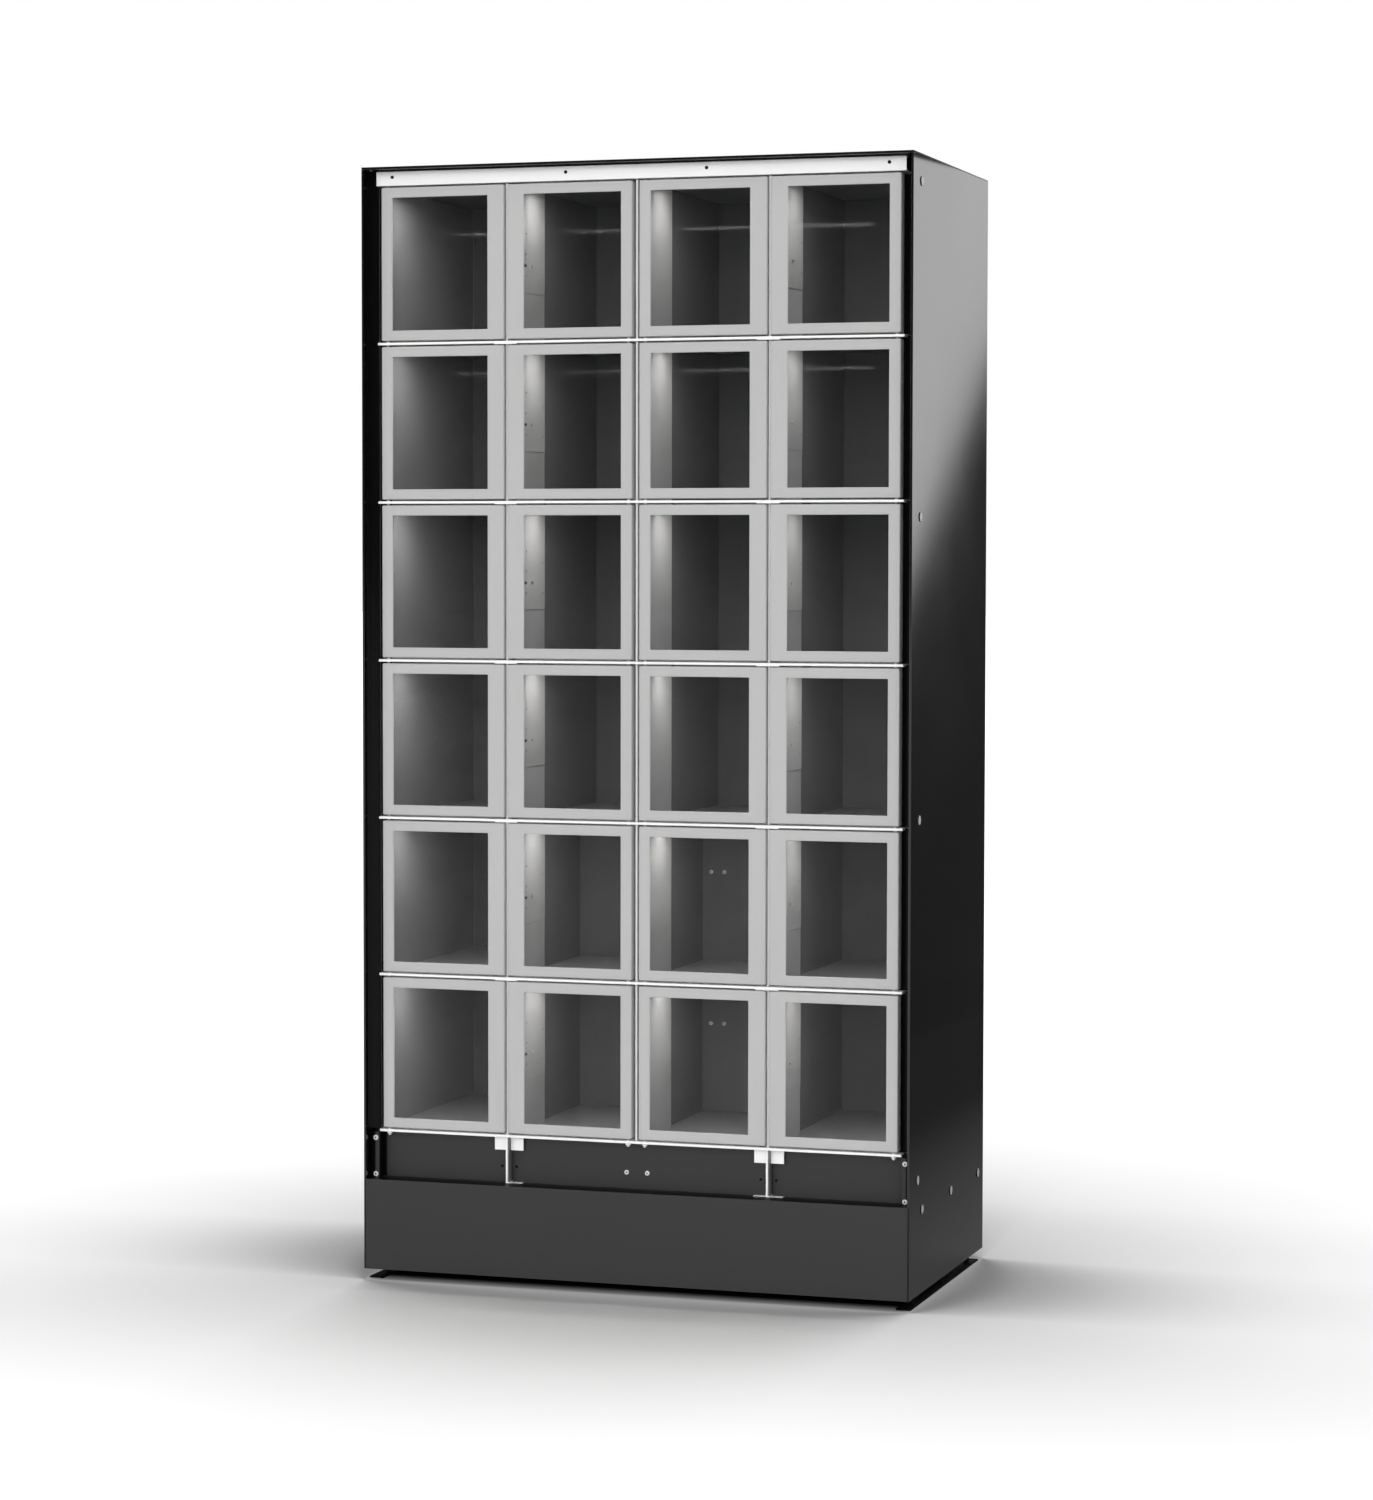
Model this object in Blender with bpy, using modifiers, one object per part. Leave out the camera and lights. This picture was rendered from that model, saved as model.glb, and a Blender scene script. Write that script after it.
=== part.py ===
"""A sheet-steel locker with twenty-four windowed doors, in four columns and six rows.

Metres, +Z up. The cabinet stands on the plane z = 0 with its front towards -Y,
and the origin lies under the middle of its footprint.
"""

from math import pi, radians

import bmesh
import bpy
from mathutils import Matrix, Vector

# Driving dimensions of the cabinet
CABINET_WIDTH = 1.000
CABINET_DEPTH = 0.546
SHELL_HEIGHT = 1.950
ROWS = 6
CLEARANCE = 0.0003
OVERRUN = 0.004
WELD = 0.000001

# Sheet thicknesses
OUTER_SHEET = 0.0015
LINER_SHEET = 0.0012
SHELF_SHEET = 0.0012
DOOR_SHEET = 0.0012
PARTITION_SHEET = 0.0020

# Shell: side and back panels with the liner folded from them
HEM_WIDTH = 0.0035
HEM_DEPTH = 0.012
JAMB_SETBACK = 0.045
SIDE_CAVITY = 0.0155
BACK_CAVITY = 0.036
SERVICE_BOX_SETBACK = 0.415
SERVICE_BOX_ROWS = 2
SIDE_BOLT_RADIUS = 0.008
SIDE_BOLT_PROUD = 0.0015
SIDE_BOLT_SETBACK = 0.056
SIDE_BOLT_HEIGHT_SHARES = (0.1026, 0.42, 0.685, 0.976)
BASE_BOLT_HEIGHT = 0.145
BASE_BOLT_SETBACK_SHARES = (0.161, 0.543, 0.923)

# Plinth: kick panel, ledge, recess panels, pan and feet
KICK_HEIGHT = 0.161
RECESS_SETBACK = 0.047
RECESS_INSET = 0.025
RISER_INSET = 0.010
FOOT_HEIGHT = 0.020
FOOT_DISC_HEIGHT = 0.008
FOOT_RADIUS = 0.020
FOOT_STEM_RADIUS = 0.007
FOOT_INSET = 0.130

# Doors and windows
DOOR_SETBACK = 0.0244
DOOR_DEPTH = 0.020
DOOR_GAP = 0.003
CENTRE_GAP = 0.0128
LOCK_GAP = 0.0062
SIDE_MARGIN = 0.0272
HINGE_STILE = 0.0205
LOCK_STILE = 0.0306
DOOR_RAIL = 0.01795
LIP_DEPTH = 0.005
PANE_THICKNESS = 0.003
PANE_LAP = 0.0035
PANE_CORNER = 0.004
PIVOT_INSET = 0.009
PIVOT_SETBACK = 0.009
PIN_RADIUS = 0.0025
PIN_PLAY = 0.0003
PIN_REACH = 0.0019
PIN_ROOT = 0.008
STRIKER_INSET = 0.005
STRIKER_THICKNESS = 0.0025
STRIKER_LENGTH = 0.038
STRIKER_HEIGHT = 0.022
STRIKER_EYE_LENGTH = 0.008
STRIKER_EYE_HEIGHT = 0.012
STRIKER_NOSE = 0.004

# Shelves
FLOOR_SHELF_HEIGHT = 0.248
SHELF_EDGE_HEIGHT = 0.0043
SHELF_EDGE_INSET = 0.0207
SLOT_SETBACK = 0.270
TAB_WIDTH = 0.0536
TAB_DROP = 0.0248
TAB_SETBACK = 0.040
BOSS_RADIUS = 0.0045
BOSS_DROP = 0.004

# Partitions
NOSE_WIDTH = 0.0035
NOSE_SETBACK = 0.032
LOCK_BOX_WIDTH = 0.024
LOCK_BOX_SETBACK = 0.050
LOCK_BOX_DEPTH = 0.142
STRIKER_SLOT_WIDTH = 0.0056
STRIKER_SLOT_HEIGHT = 0.028
POST_SETBACK = 0.031
POST_WIDTH = 0.006
POST_DEPTH = 0.023
POST_PLAY = 0.0015
FOOT_TAB_REACH = 0.027
FOOT_TAB_DEPTH = 0.012
FOOT_TAB_THICKNESS = 0.001

# Top cap and header rail
CAP_HEM_HEIGHT = 0.0042
HEADER_DROP = 0.0064
HEADER_HEIGHT = 0.0247
HEADER_DEPTH = 0.020
HEADER_INSET = 0.0185
HEADER_HOLE_RADIUS = 0.0022
HEADER_HOLE_RISE = 0.0148
HEADER_HOLE_SHARES = (0.266, 0.938)

# Facets round a small pin and round a foot or bolt head, and the bend in degrees that stays sharp
PIN_SIDES = 10
FOOT_SIDES = 16
BEND_LIMIT = 35

HALF_WIDTH = CABINET_WIDTH / 2
SHELL_TOP = FOOT_HEIGHT + SHELL_HEIGHT
LINER_X = HALF_WIDTH - SIDE_CAVITY
LINER_BACK = CABINET_DEPTH - BACK_CAVITY
HEADER_HALF_WIDTH = HALF_WIDTH - HEADER_INSET
ROWS_HEIGHT = SHELL_HEIGHT - HEADER_DROP - HEADER_HEIGHT + SHELF_EDGE_HEIGHT - FLOOR_SHELF_HEIGHT
ROW_PITCH = ROWS_HEIGHT / ROWS
DOOR_WIDTH = (HALF_WIDTH - CENTRE_GAP / 2 - LOCK_GAP - SIDE_MARGIN) / 2
DOOR_HEIGHT = ROW_PITCH - SHELF_EDGE_HEIGHT - 2 * DOOR_GAP
WINDOW_WIDTH = DOOR_WIDTH - HINGE_STILE - LOCK_STILE
WINDOW_HEIGHT = DOOR_HEIGHT - 2 * DOOR_RAIL
LOCK_X = CENTRE_GAP / 2 + DOOR_WIDTH + LOCK_GAP / 2
INNER_PIVOT_X = CENTRE_GAP / 2 + PIVOT_INSET
OUTER_PIVOT_X = LOCK_X + LOCK_GAP / 2 + DOOR_WIDTH - PIVOT_INSET
PIVOT_PLACES = (-OUTER_PIVOT_X, -INNER_PIVOT_X, INNER_PIVOT_X, OUTER_PIVOT_X)
SERVICE_BOX_HALF = LOCK_X - PARTITION_SHEET / 2 - CLEARANCE
INTERIOR_HALF = LINER_X - CLEARANCE
INTERIOR_BACK = LINER_BACK - CLEARANCE


def back(setback):
    """World y of a place that lies this far behind the front plane."""
    return setback - CABINET_DEPTH / 2


def up(height):
    """World z of a height above the lower edge of the shell."""
    return FOOT_HEIGHT + height


def shelf_top(level):
    """World z of a shelf's upper face, the floor shelf being level 0."""
    return up(FLOOR_SHELF_HEIGHT + level * ROW_PITCH)


HEADER_BOTTOM = shelf_top(ROWS) - SHELF_EDGE_HEIGHT
LEDGE_TOP = up(KICK_HEIGHT)


def clear_scene():
    for item in list(bpy.data.objects):
        bpy.data.objects.remove(item, do_unlink=True)


def new_collection(name):
    collection = bpy.data.collections.new(name)
    bpy.context.scene.collection.children.link(collection)
    return collection


def finish(name, colour, roughness, metallic=0.0, alpha=1.0):
    """A plain Principled material in the colour of the piece."""
    material = bpy.data.materials.new(name)
    material.use_nodes = True
    shader = material.node_tree.nodes["Principled BSDF"]
    shader.inputs["Base Color"].default_value = (*colour, 1.0)
    shader.inputs["Roughness"].default_value = roughness
    shader.inputs["Metallic"].default_value = metallic
    shader.inputs["Alpha"].default_value = alpha
    return material


def box_mesh(name, boxes):
    """One mesh of closed boxes, each given by its low and its high corner."""
    shape = bmesh.new()
    for low, high in boxes:
        middle = (Vector(low) + Vector(high)) / 2
        size = Vector(high) - Vector(low)
        placed = Matrix.LocRotScale(middle, None, size)
        bmesh.ops.create_cube(shape, size=1, matrix=placed)
    mesh = bpy.data.meshes.new(name)
    shape.to_mesh(mesh)
    shape.free()
    return mesh


def rod_mesh(name, rods, turn, sides):
    """One mesh of round bars, each a middle, a radius and a length along the turned Z axis."""
    shape = bmesh.new()
    for middle, radius, length in rods:
        placed = Matrix.Translation(Vector(middle)) @ turn
        bmesh.ops.create_cone(
            shape, cap_ends=True, segments=sides, radius1=radius, radius2=radius, depth=length, matrix=placed
        )
    mesh = bpy.data.meshes.new(name)
    shape.to_mesh(mesh)
    shape.free()
    return mesh


UPRIGHT = Matrix.Identity(4)
SIDEWAYS = Matrix(((0, 0, 1, 0), (1, 0, 0, 0), (0, 1, 0, 0), (0, 0, 0, 1)))
ALONG_X = Matrix.Rotation(pi / 2, 4, "Y")
ALONG_Y = Matrix.Rotation(pi / 2, 4, "X")


def evaluated_mesh(item):
    """The item's mesh with its modifiers applied, in its own frame."""
    bpy.context.view_layer.update()
    graph = bpy.context.evaluated_depsgraph_get()
    return bpy.data.meshes.new_from_object(item.evaluated_get(graph))


def prism_mesh(name, loops, low, high, turn):
    """Flat outlines with their holes, drawn out from low to high along the turned Z axis."""
    outline = bpy.data.curves.new(name, "CURVE")
    outline.dimensions = "2D"
    outline.fill_mode = "BOTH"
    outline.extrude = (high - low) / 2
    for loop in loops:
        spline = outline.splines.new("POLY")
        spline.points.add(len(loop) - 1)
        for point, (u, v) in zip(spline.points, loop):
            point.co = (u, v, 0, 1)
        spline.use_cyclic_u = True
    guide = bpy.data.objects.new(name, outline)
    bpy.context.scene.collection.objects.link(guide)
    mesh = evaluated_mesh(guide)
    bpy.data.objects.remove(guide, do_unlink=True)
    shape = bmesh.new()
    shape.from_mesh(mesh)
    bmesh.ops.remove_doubles(shape, verts=shape.verts, dist=WELD)
    bmesh.ops.transform(shape, verts=shape.verts, matrix=turn @ Matrix.Translation((0, 0, (low + high) / 2)))
    bmesh.ops.recalc_face_normals(shape, faces=shape.faces)
    shape.to_mesh(mesh)
    shape.free()
    return mesh


def place(name, mesh, collection, material=None):
    item = bpy.data.objects.new(name, mesh)
    collection.objects.link(item)
    if material is not None:
        mesh.materials.clear()
        mesh.materials.append(material)
    return item


def cut_or_join(item, operation, mesh, tools):
    """Gives the item a Boolean with this mesh, which is kept as a wire helper."""
    tool = place(mesh.name, mesh, tools)
    tool.hide_render = True
    tool.display_type = "WIRE"
    modifier = item.modifiers.new(mesh.name, "BOOLEAN")
    modifier.operation = operation
    modifier.solver = "EXACT"
    modifier.object = tool
    return tool


def cut(item, mesh, tools):
    return cut_or_join(item, "DIFFERENCE", mesh, tools)


def join(item, mesh, tools):
    return cut_or_join(item, "UNION", mesh, tools)


def smooth_round_faces(mesh):
    mesh.shade_smooth()
    mesh.set_sharp_from_angle(angle=radians(BEND_LIMIT))


def settle(item):
    """Replaces the item's mesh by its evaluated one and drops its modifiers."""
    mesh = evaluated_mesh(item)
    item.modifiers.clear()
    item.data = mesh
    smooth_round_faces(mesh)
    return item


def both_sides(half):
    """A closed loop from the right half of a plan that is alike on the left."""
    return list(half) + [(-x, y) for x, y in reversed(half)]


def make_wrap(parts, tools, material):
    """Side and back panels, with the jambs and the liner folded inside them."""
    outside = both_sides(
        (
            (LINER_X, back(LINER_BACK)),
            (LINER_X, back(JAMB_SETBACK)),
            (HALF_WIDTH - OUTER_SHEET, back(JAMB_SETBACK)),
            (HALF_WIDTH - OUTER_SHEET, back(HEM_DEPTH)),
            (HALF_WIDTH - HEM_WIDTH, back(HEM_DEPTH)),
            (HALF_WIDTH - HEM_WIDTH, back(0)),
            (HALF_WIDTH, back(0)),
            (HALF_WIDTH, back(CABINET_DEPTH)),
        )
    )
    cavity = both_sides(
        (
            (LINER_X + LINER_SHEET, back(LINER_BACK + LINER_SHEET)),
            (LINER_X + LINER_SHEET, back(JAMB_SETBACK + LINER_SHEET)),
            (HALF_WIDTH - OUTER_SHEET, back(JAMB_SETBACK + LINER_SHEET)),
            (HALF_WIDTH - OUTER_SHEET, back(CABINET_DEPTH - OUTER_SHEET)),
        )
    )
    top = SHELL_TOP - OUTER_SHEET - CLEARANCE
    folded = prism_mesh("wrap_plan", (outside, cavity), up(0), top, UPRIGHT)
    wrap = place("cabinet_wrap", folded, parts, material)
    add_service_box(wrap, tools)
    notch = ((-HALF_WIDTH - OVERRUN, back(-OVERRUN)), (HALF_WIDTH + OVERRUN, back(HEM_DEPTH + CLEARANCE)))
    kick_rear = back(OUTER_SHEET + CLEARANCE)
    for_kick = ((*notch[0], up(-OVERRUN)), (notch[1][0], kick_rear, LEDGE_TOP + CLEARANCE))
    for_cap = ((*notch[0], SHELL_TOP - CAP_HEM_HEIGHT - CLEARANCE), (*notch[1], SHELL_TOP + OVERRUN))
    cut(wrap, box_mesh("wrap_front_notches", (for_kick, for_cap)), tools)
    join(wrap, side_bolts(), tools)
    return settle(wrap)


def add_service_box(wrap, tools):
    """The box that houses the wiring behind the lower middle compartments, open to the back duct."""
    low_z = shelf_top(0) + CLEARANCE
    high_z = shelf_top(SERVICE_BOX_ROWS) - SHELF_SHEET - CLEARANCE
    front = back(SERVICE_BOX_SETBACK)
    block = (
        (-SERVICE_BOX_HALF, front, low_z),
        (SERVICE_BOX_HALF, back(LINER_BACK + LINER_SHEET / 2), high_z),
    )
    wall = LINER_SHEET
    hollow = (
        (-SERVICE_BOX_HALF + wall, front + wall, low_z + wall),
        (SERVICE_BOX_HALF - wall, back(LINER_BACK + BACK_CAVITY / 2), high_z - wall),
    )
    join(wrap, box_mesh("service_box", (block,)), tools)
    cut(wrap, box_mesh("service_box_hollow", (hollow,)), tools)


def side_bolts():
    """The round heads on both side panels, as one mesh of short rods."""
    spots = [(SIDE_BOLT_SETBACK, share * SHELL_HEIGHT) for share in SIDE_BOLT_HEIGHT_SHARES]
    spots += [(share * CABINET_DEPTH, BASE_BOLT_HEIGHT) for share in BASE_BOLT_SETBACK_SHARES]
    length = OUTER_SHEET / 2 + SIDE_BOLT_PROUD
    middle_x = HALF_WIDTH + SIDE_BOLT_PROUD - length / 2
    rods = []
    for side in (-1, 1):
        for setback, height in spots:
            rods.append(((side * middle_x, back(setback), up(height)), SIDE_BOLT_RADIUS, length))
    return rod_mesh("side_bolts", rods, ALONG_X, FOOT_SIDES)


def make_top_cap(parts, tools, material):
    """Top panel with its front hem, and the header rail and ceiling that hang from it."""
    under = SHELL_TOP - OUTER_SHEET
    panel = ((-HALF_WIDTH, back(0), under), (HALF_WIDTH, back(CABINET_DEPTH), SHELL_TOP))
    cap = place("top_cap", box_mesh("top_cap", (panel,)), parts, material)
    hem_low = (-HALF_WIDTH, back(0), SHELL_TOP - CAP_HEM_HEIGHT)
    hem_high = (HALF_WIDTH, back(HEM_DEPTH), SHELL_TOP - OUTER_SHEET / 2)
    join(cap, box_mesh("cap_hem", ((hem_low, hem_high),)), tools)
    join(cap, header_mesh(), tools)
    holes = []
    for share in HEADER_HOLE_SHARES:
        for side in (-1, 1):
            hole_x = side * share * HEADER_HALF_WIDTH
            middle = (hole_x, back(DOOR_SETBACK), HEADER_BOTTOM + HEADER_HOLE_RISE)
            holes.append((middle, HEADER_HOLE_RADIUS, 2 * OVERRUN))
    cut(cap, rod_mesh("header_holes", holes, ALONG_Y, PIN_SIDES), tools)
    cut(cap, rod_mesh("header_pin_holes", pin_holes(HEADER_BOTTOM), UPRIGHT, PIN_SIDES), tools)
    return settle(cap)


def header_mesh():
    """Header rail and ceiling, one sheet folded from the top panel down, forward, down and back."""
    rear = back(DOOR_SETBACK + HEADER_DEPTH)
    front = back(DOOR_SETBACK)
    header_top = HEADER_BOTTOM + HEADER_HEIGHT
    folds = (
        (rear, SHELL_TOP - OUTER_SHEET / 2),
        (rear, header_top),
        (front, header_top),
        (front, HEADER_BOTTOM),
        (back(INTERIOR_BACK), HEADER_BOTTOM),
    )
    shape = bmesh.new()
    rows = []
    for side in (-1, 1):
        rows.append([shape.verts.new((side * HEADER_HALF_WIDTH, y, z)) for y, z in folds])
    for left_a, left_b, right_a, right_b in zip(rows[0], rows[0][1:], rows[1], rows[1][1:]):
        shape.faces.new((left_a, left_b, right_b, right_a))
    mesh = bpy.data.meshes.new("header_fold")
    shape.to_mesh(mesh)
    shape.free()
    sheet = bpy.data.objects.new("header_fold", mesh)
    bpy.context.scene.collection.objects.link(sheet)
    thickness = sheet.modifiers.new("thickness", "SOLIDIFY")
    thickness.thickness = LINER_SHEET
    thickness.offset = -1
    thickness.use_even_offset = True
    solid = evaluated_mesh(sheet)
    bpy.data.objects.remove(sheet, do_unlink=True)
    return solid


def pin_holes(middle_z):
    """Rods through every hinge axis at this height, a little wider than the pins."""
    y = back(DOOR_SETBACK + PIVOT_SETBACK)
    return [((x, y, middle_z), PIN_RADIUS + PIN_PLAY, 4 * OVERRUN) for x in PIVOT_PLACES]


def make_plinth(parts, tools, material):
    """Kick panel, ledge, recess panels, floor pan, rear riser and feet, welded together."""
    kick = ((-HALF_WIDTH, back(0), up(0)), (HALF_WIDTH, back(OUTER_SHEET), LEDGE_TOP))
    plinth = place("plinth", box_mesh("plinth", (kick,)), parts, material)
    for name, low, high in plinth_sheets():
        join(plinth, box_mesh(name, ((low, high),)), tools)
    stems = foot_rods(FOOT_STEM_RADIUS, up(OUTER_SHEET / 2))
    discs = foot_rods(FOOT_RADIUS, FOOT_DISC_HEIGHT)
    join(plinth, rod_mesh("foot_stems", stems, UPRIGHT, PIN_SIDES), tools)
    join(plinth, rod_mesh("foot_discs", discs, UPRIGHT, FOOT_SIDES), tools)
    return settle(plinth)


def foot_rods(radius, top):
    """Upright rods from the floor to this height, one under each corner of the pan."""
    x = HALF_WIDTH - FOOT_INSET
    middle_y = CABINET_DEPTH / 2 - FOOT_INSET
    return [((side * x, end * middle_y, top / 2), radius, top) for side in (-1, 1) for end in (-1, 1)]


def plinth_sheets():
    """The plinth's flat sheets by name, each one lapping the sheet that it is welded to."""
    lap = OUTER_SHEET / 2
    ledge_low = LEDGE_TOP - OUTER_SHEET
    panel_top = shelf_top(0) - SHELF_EDGE_HEIGHT - CLEARANCE
    panel_rear = back(RECESS_SETBACK + OUTER_SHEET)
    between_hems = HALF_WIDTH - HEM_WIDTH - CLEARANCE
    slot_inner = LOCK_X - POST_WIDTH / 2 - POST_PLAY
    slot_outer = LOCK_X + POST_WIDTH / 2 + POST_PLAY
    riser_rear = back(INTERIOR_BACK - RISER_INSET)
    riser_top = shelf_top(0) - SHELF_SHEET - CLEARANCE
    jamb_front = back(JAMB_SETBACK - CLEARANCE)
    ledge_lap = back(JAMB_SETBACK - HEM_DEPTH)
    inside = INTERIOR_HALF
    sheets = [
        ("ledge", (-between_hems, back(lap), ledge_low), (between_hems, jamb_front, LEDGE_TOP)),
        ("ledge_rear", (-inside, ledge_lap, ledge_low), (inside, panel_rear, LEDGE_TOP)),
        ("pan", (-inside, back(lap), up(0)), (inside, back(INTERIOR_BACK), up(OUTER_SHEET))),
        ("riser", (-inside, riser_rear - OUTER_SHEET, up(lap)), (inside, riser_rear, riser_top)),
    ]
    recess_half = HALF_WIDTH - RECESS_INSET
    runs = ((-recess_half, -slot_outer), (-slot_inner, slot_inner), (slot_outer, recess_half))
    for number, (left, right) in enumerate(runs, 1):
        low = (left, back(RECESS_SETBACK), LEDGE_TOP - lap)
        sheets.append((f"recess_panel_{number}", low, (right, panel_rear, panel_top)))
    return sheets


def make_shelf(level, parts, tools, material):
    """A shelf with a thick front edge, cut for the pivot pins, partitions and service box."""
    name = f"shelf_{ROWS - level}" if level else "floor_shelf"
    top = shelf_top(level)
    edge_rear = back(JAMB_SETBACK - CLEARANCE)
    plate_low = (-INTERIOR_HALF, edge_rear - SHELF_SHEET, top - SHELF_SHEET)
    plate = (plate_low, (INTERIOR_HALF, back(INTERIOR_BACK), top))
    shelf = place(name, box_mesh(name, (plate,)), parts, material)
    edge_half = HALF_WIDTH - SHELF_EDGE_INSET
    edge_low = (-edge_half, back(DOOR_SETBACK), top - SHELF_EDGE_HEIGHT)
    join(shelf, box_mesh(f"{name}_edge", ((edge_low, (edge_half, edge_rear, top)),)), tools)
    if level:
        cut(shelf, shelf_slots(f"{name}_slots", level), tools)
    else:
        add_floor_shelf_details(shelf, top, tools)
    cut(shelf, rod_mesh(f"{name}_pin_holes", pin_holes(top), UPRIGHT, PIN_SIDES), tools)
    return settle(shelf)


def shelf_slots(name, level):
    """Slots open at the rear for the three partitions, and the notch round the service box."""
    low_z = shelf_top(level) - OVERRUN
    high_z = shelf_top(level) + OVERRUN
    rear = back(LINER_BACK + OVERRUN)
    half = PARTITION_SHEET / 2 + CLEARANCE
    front = back(SLOT_SETBACK - CLEARANCE)
    if level >= SERVICE_BOX_ROWS:
        places = (-LOCK_X, 0, LOCK_X)
        return box_mesh(name, [((x - half, front, low_z), (x + half, rear, high_z)) for x in places])
    notch_front = back(SERVICE_BOX_SETBACK - CLEARANCE)
    outline = both_sides(
        (
            (half, front),
            (half, notch_front),
            (LOCK_X - half, notch_front),
            (LOCK_X - half, front),
            (LOCK_X + half, front),
            (LOCK_X + half, rear),
        )
    )
    return prism_mesh(name, (outline,), low_z, high_z, UPRIGHT)


def add_floor_shelf_details(shelf, top, tools):
    """Holes for the lock posts, the folded tabs beside them and the lower pivot bosses."""
    half = POST_WIDTH / 2 + CLEARANCE
    front = back(POST_SETBACK - CLEARANCE)
    rear = back(POST_SETBACK + POST_DEPTH + CLEARANCE)
    low_z = top - SHELF_EDGE_HEIGHT - TAB_DROP - OVERRUN
    holes = [((x - half, front, low_z), (x + half, rear, top + OVERRUN)) for x in (-LOCK_X, LOCK_X)]
    tabs = []
    for x in (-LOCK_X, LOCK_X):
        low = (x - TAB_WIDTH / 2, back(TAB_SETBACK), top - SHELF_EDGE_HEIGHT - TAB_DROP)
        tabs.append((low, (x + TAB_WIDTH / 2, back(TAB_SETBACK) + OUTER_SHEET, top - SHELF_SHEET / 2)))
    join(shelf, box_mesh("floor_shelf_tabs", tabs), tools)
    y = back(DOOR_SETBACK + PIVOT_SETBACK)
    length = BOSS_DROP + SHELF_EDGE_HEIGHT / 2
    middle_z = top - SHELF_EDGE_HEIGHT - BOSS_DROP + length / 2
    bosses = [((x, y, middle_z), BOSS_RADIUS, length) for x in PIVOT_PLACES]
    join(shelf, rod_mesh("floor_shelf_bosses", bosses, UPRIGHT, PIN_SIDES), tools)
    cut(shelf, box_mesh("post_holes", holes), tools)


def make_partition(name, x, tab_reach, parts, tools, material):
    """An upright between two columns: front nose, hollow lock box and a plain rear sheet."""
    box = LOCK_BOX_WIDTH / 2
    sheet = PARTITION_SHEET / 2
    box_rear = LOCK_BOX_SETBACK + LOCK_BOX_DEPTH
    half = (
        (box, back(LOCK_BOX_SETBACK)),
        (box, back(box_rear)),
        (sheet, back(box_rear)),
        (sheet, back(INTERIOR_BACK)),
    )
    inner = box - LINER_SHEET
    cavity = ((inner, back(LOCK_BOX_SETBACK + LINER_SHEET)), (inner, back(box_rear - LINER_SHEET)))
    loops = [[(x + dx, y) for dx, y in both_sides(part)] for part in (half, cavity)]
    bottom = shelf_top(0) + CLEARANCE
    top = HEADER_BOTTOM - CLEARANCE
    partition = place(name, prism_mesh(f"{name}_plan", loops, bottom, top, UPRIGHT), parts, material)
    nose_low = (x - NOSE_WIDTH / 2, back(NOSE_SETBACK), bottom)
    nose_high = (x + NOSE_WIDTH / 2, back(LOCK_BOX_SETBACK + LINER_SHEET / 2), top)
    join(partition, box_mesh(f"{name}_nose", ((nose_low, nose_high),)), tools)
    cut(partition, partition_slots(f"{name}_shelf_slots", x), tools)
    if tab_reach:
        cut(partition, box_mesh(f"{name}_striker_slots", striker_slots(x)), tools)
        add_lower_post(partition, x, tab_reach, tools)
    else:
        notch_low = (x - box, back(SERVICE_BOX_SETBACK - CLEARANCE), bottom - OVERRUN)
        notch_high = (x + box, back(LINER_BACK + OVERRUN), shelf_top(SERVICE_BOX_ROWS) - SHELF_SHEET / 2)
        cut(partition, box_mesh(f"{name}_service_notch", ((notch_low, notch_high),)), tools)
    return settle(partition)


def partition_slots(name, x):
    """Slots open at the front, stepped to the thick edge and the thin plate of each shelf."""
    reach = LOCK_BOX_WIDTH / 2 + OVERRUN
    front = back(NOSE_SETBACK - OVERRUN)
    step = back(JAMB_SETBACK)
    rear = back(SLOT_SETBACK)
    loops = []
    for level in range(1, ROWS):
        top = shelf_top(level) + CLEARANCE
        edge_low = shelf_top(level) - SHELF_EDGE_HEIGHT - CLEARANCE
        plate_low = shelf_top(level) - SHELF_SHEET - CLEARANCE
        below = ((front, edge_low), (step, edge_low), (step, plate_low), (rear, plate_low))
        loops.append((*below, (rear, top), (front, top)))
    return prism_mesh(name, loops, x - reach, x + reach, SIDEWAYS)


def striker_slots(x):
    """Slots in the lock box's front wall, two to a row, for the strikers of the doors beside it."""
    offset = LOCK_GAP / 2 + STRIKER_INSET - (STRIKER_SLOT_WIDTH - STRIKER_THICKNESS) / 4
    boxes = []
    for level in range(ROWS):
        middle_z = door_middle(level)
        for side in (-1, 1):
            middle = Vector((x + side * offset, back(LOCK_BOX_SETBACK + LINER_SHEET / 2), middle_z))
            half = Vector((STRIKER_SLOT_WIDTH / 2, LINER_SHEET, STRIKER_SLOT_HEIGHT / 2))
            boxes.append((middle - half, middle + half))
    return boxes


def add_lower_post(partition, x, tab_reach, tools):
    """The post that carries the lock partition down through the floor shelf to the ledge."""
    bottom = LEDGE_TOP + CLEARANCE
    front = back(POST_SETBACK)
    half = POST_WIDTH / 2
    post = ((x - half, front, bottom), (x + half, front + POST_DEPTH, shelf_top(0) + DOOR_GAP / 2))
    join(partition, box_mesh(f"{partition.name}_post", (post,)), tools)
    tab_low = (x + tab_reach[0], back(NOSE_SETBACK), bottom + CLEARANCE)
    tab_high = (x + tab_reach[1], back(NOSE_SETBACK) + FOOT_TAB_DEPTH, bottom + FOOT_TAB_THICKNESS)
    join(partition, box_mesh(f"{partition.name}_foot", ((tab_low, tab_high),)), tools)


def door_middle(level):
    """World z of the middle of the doors that stand on this shelf."""
    return shelf_top(level) + DOOR_GAP + DOOR_HEIGHT / 2


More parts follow.
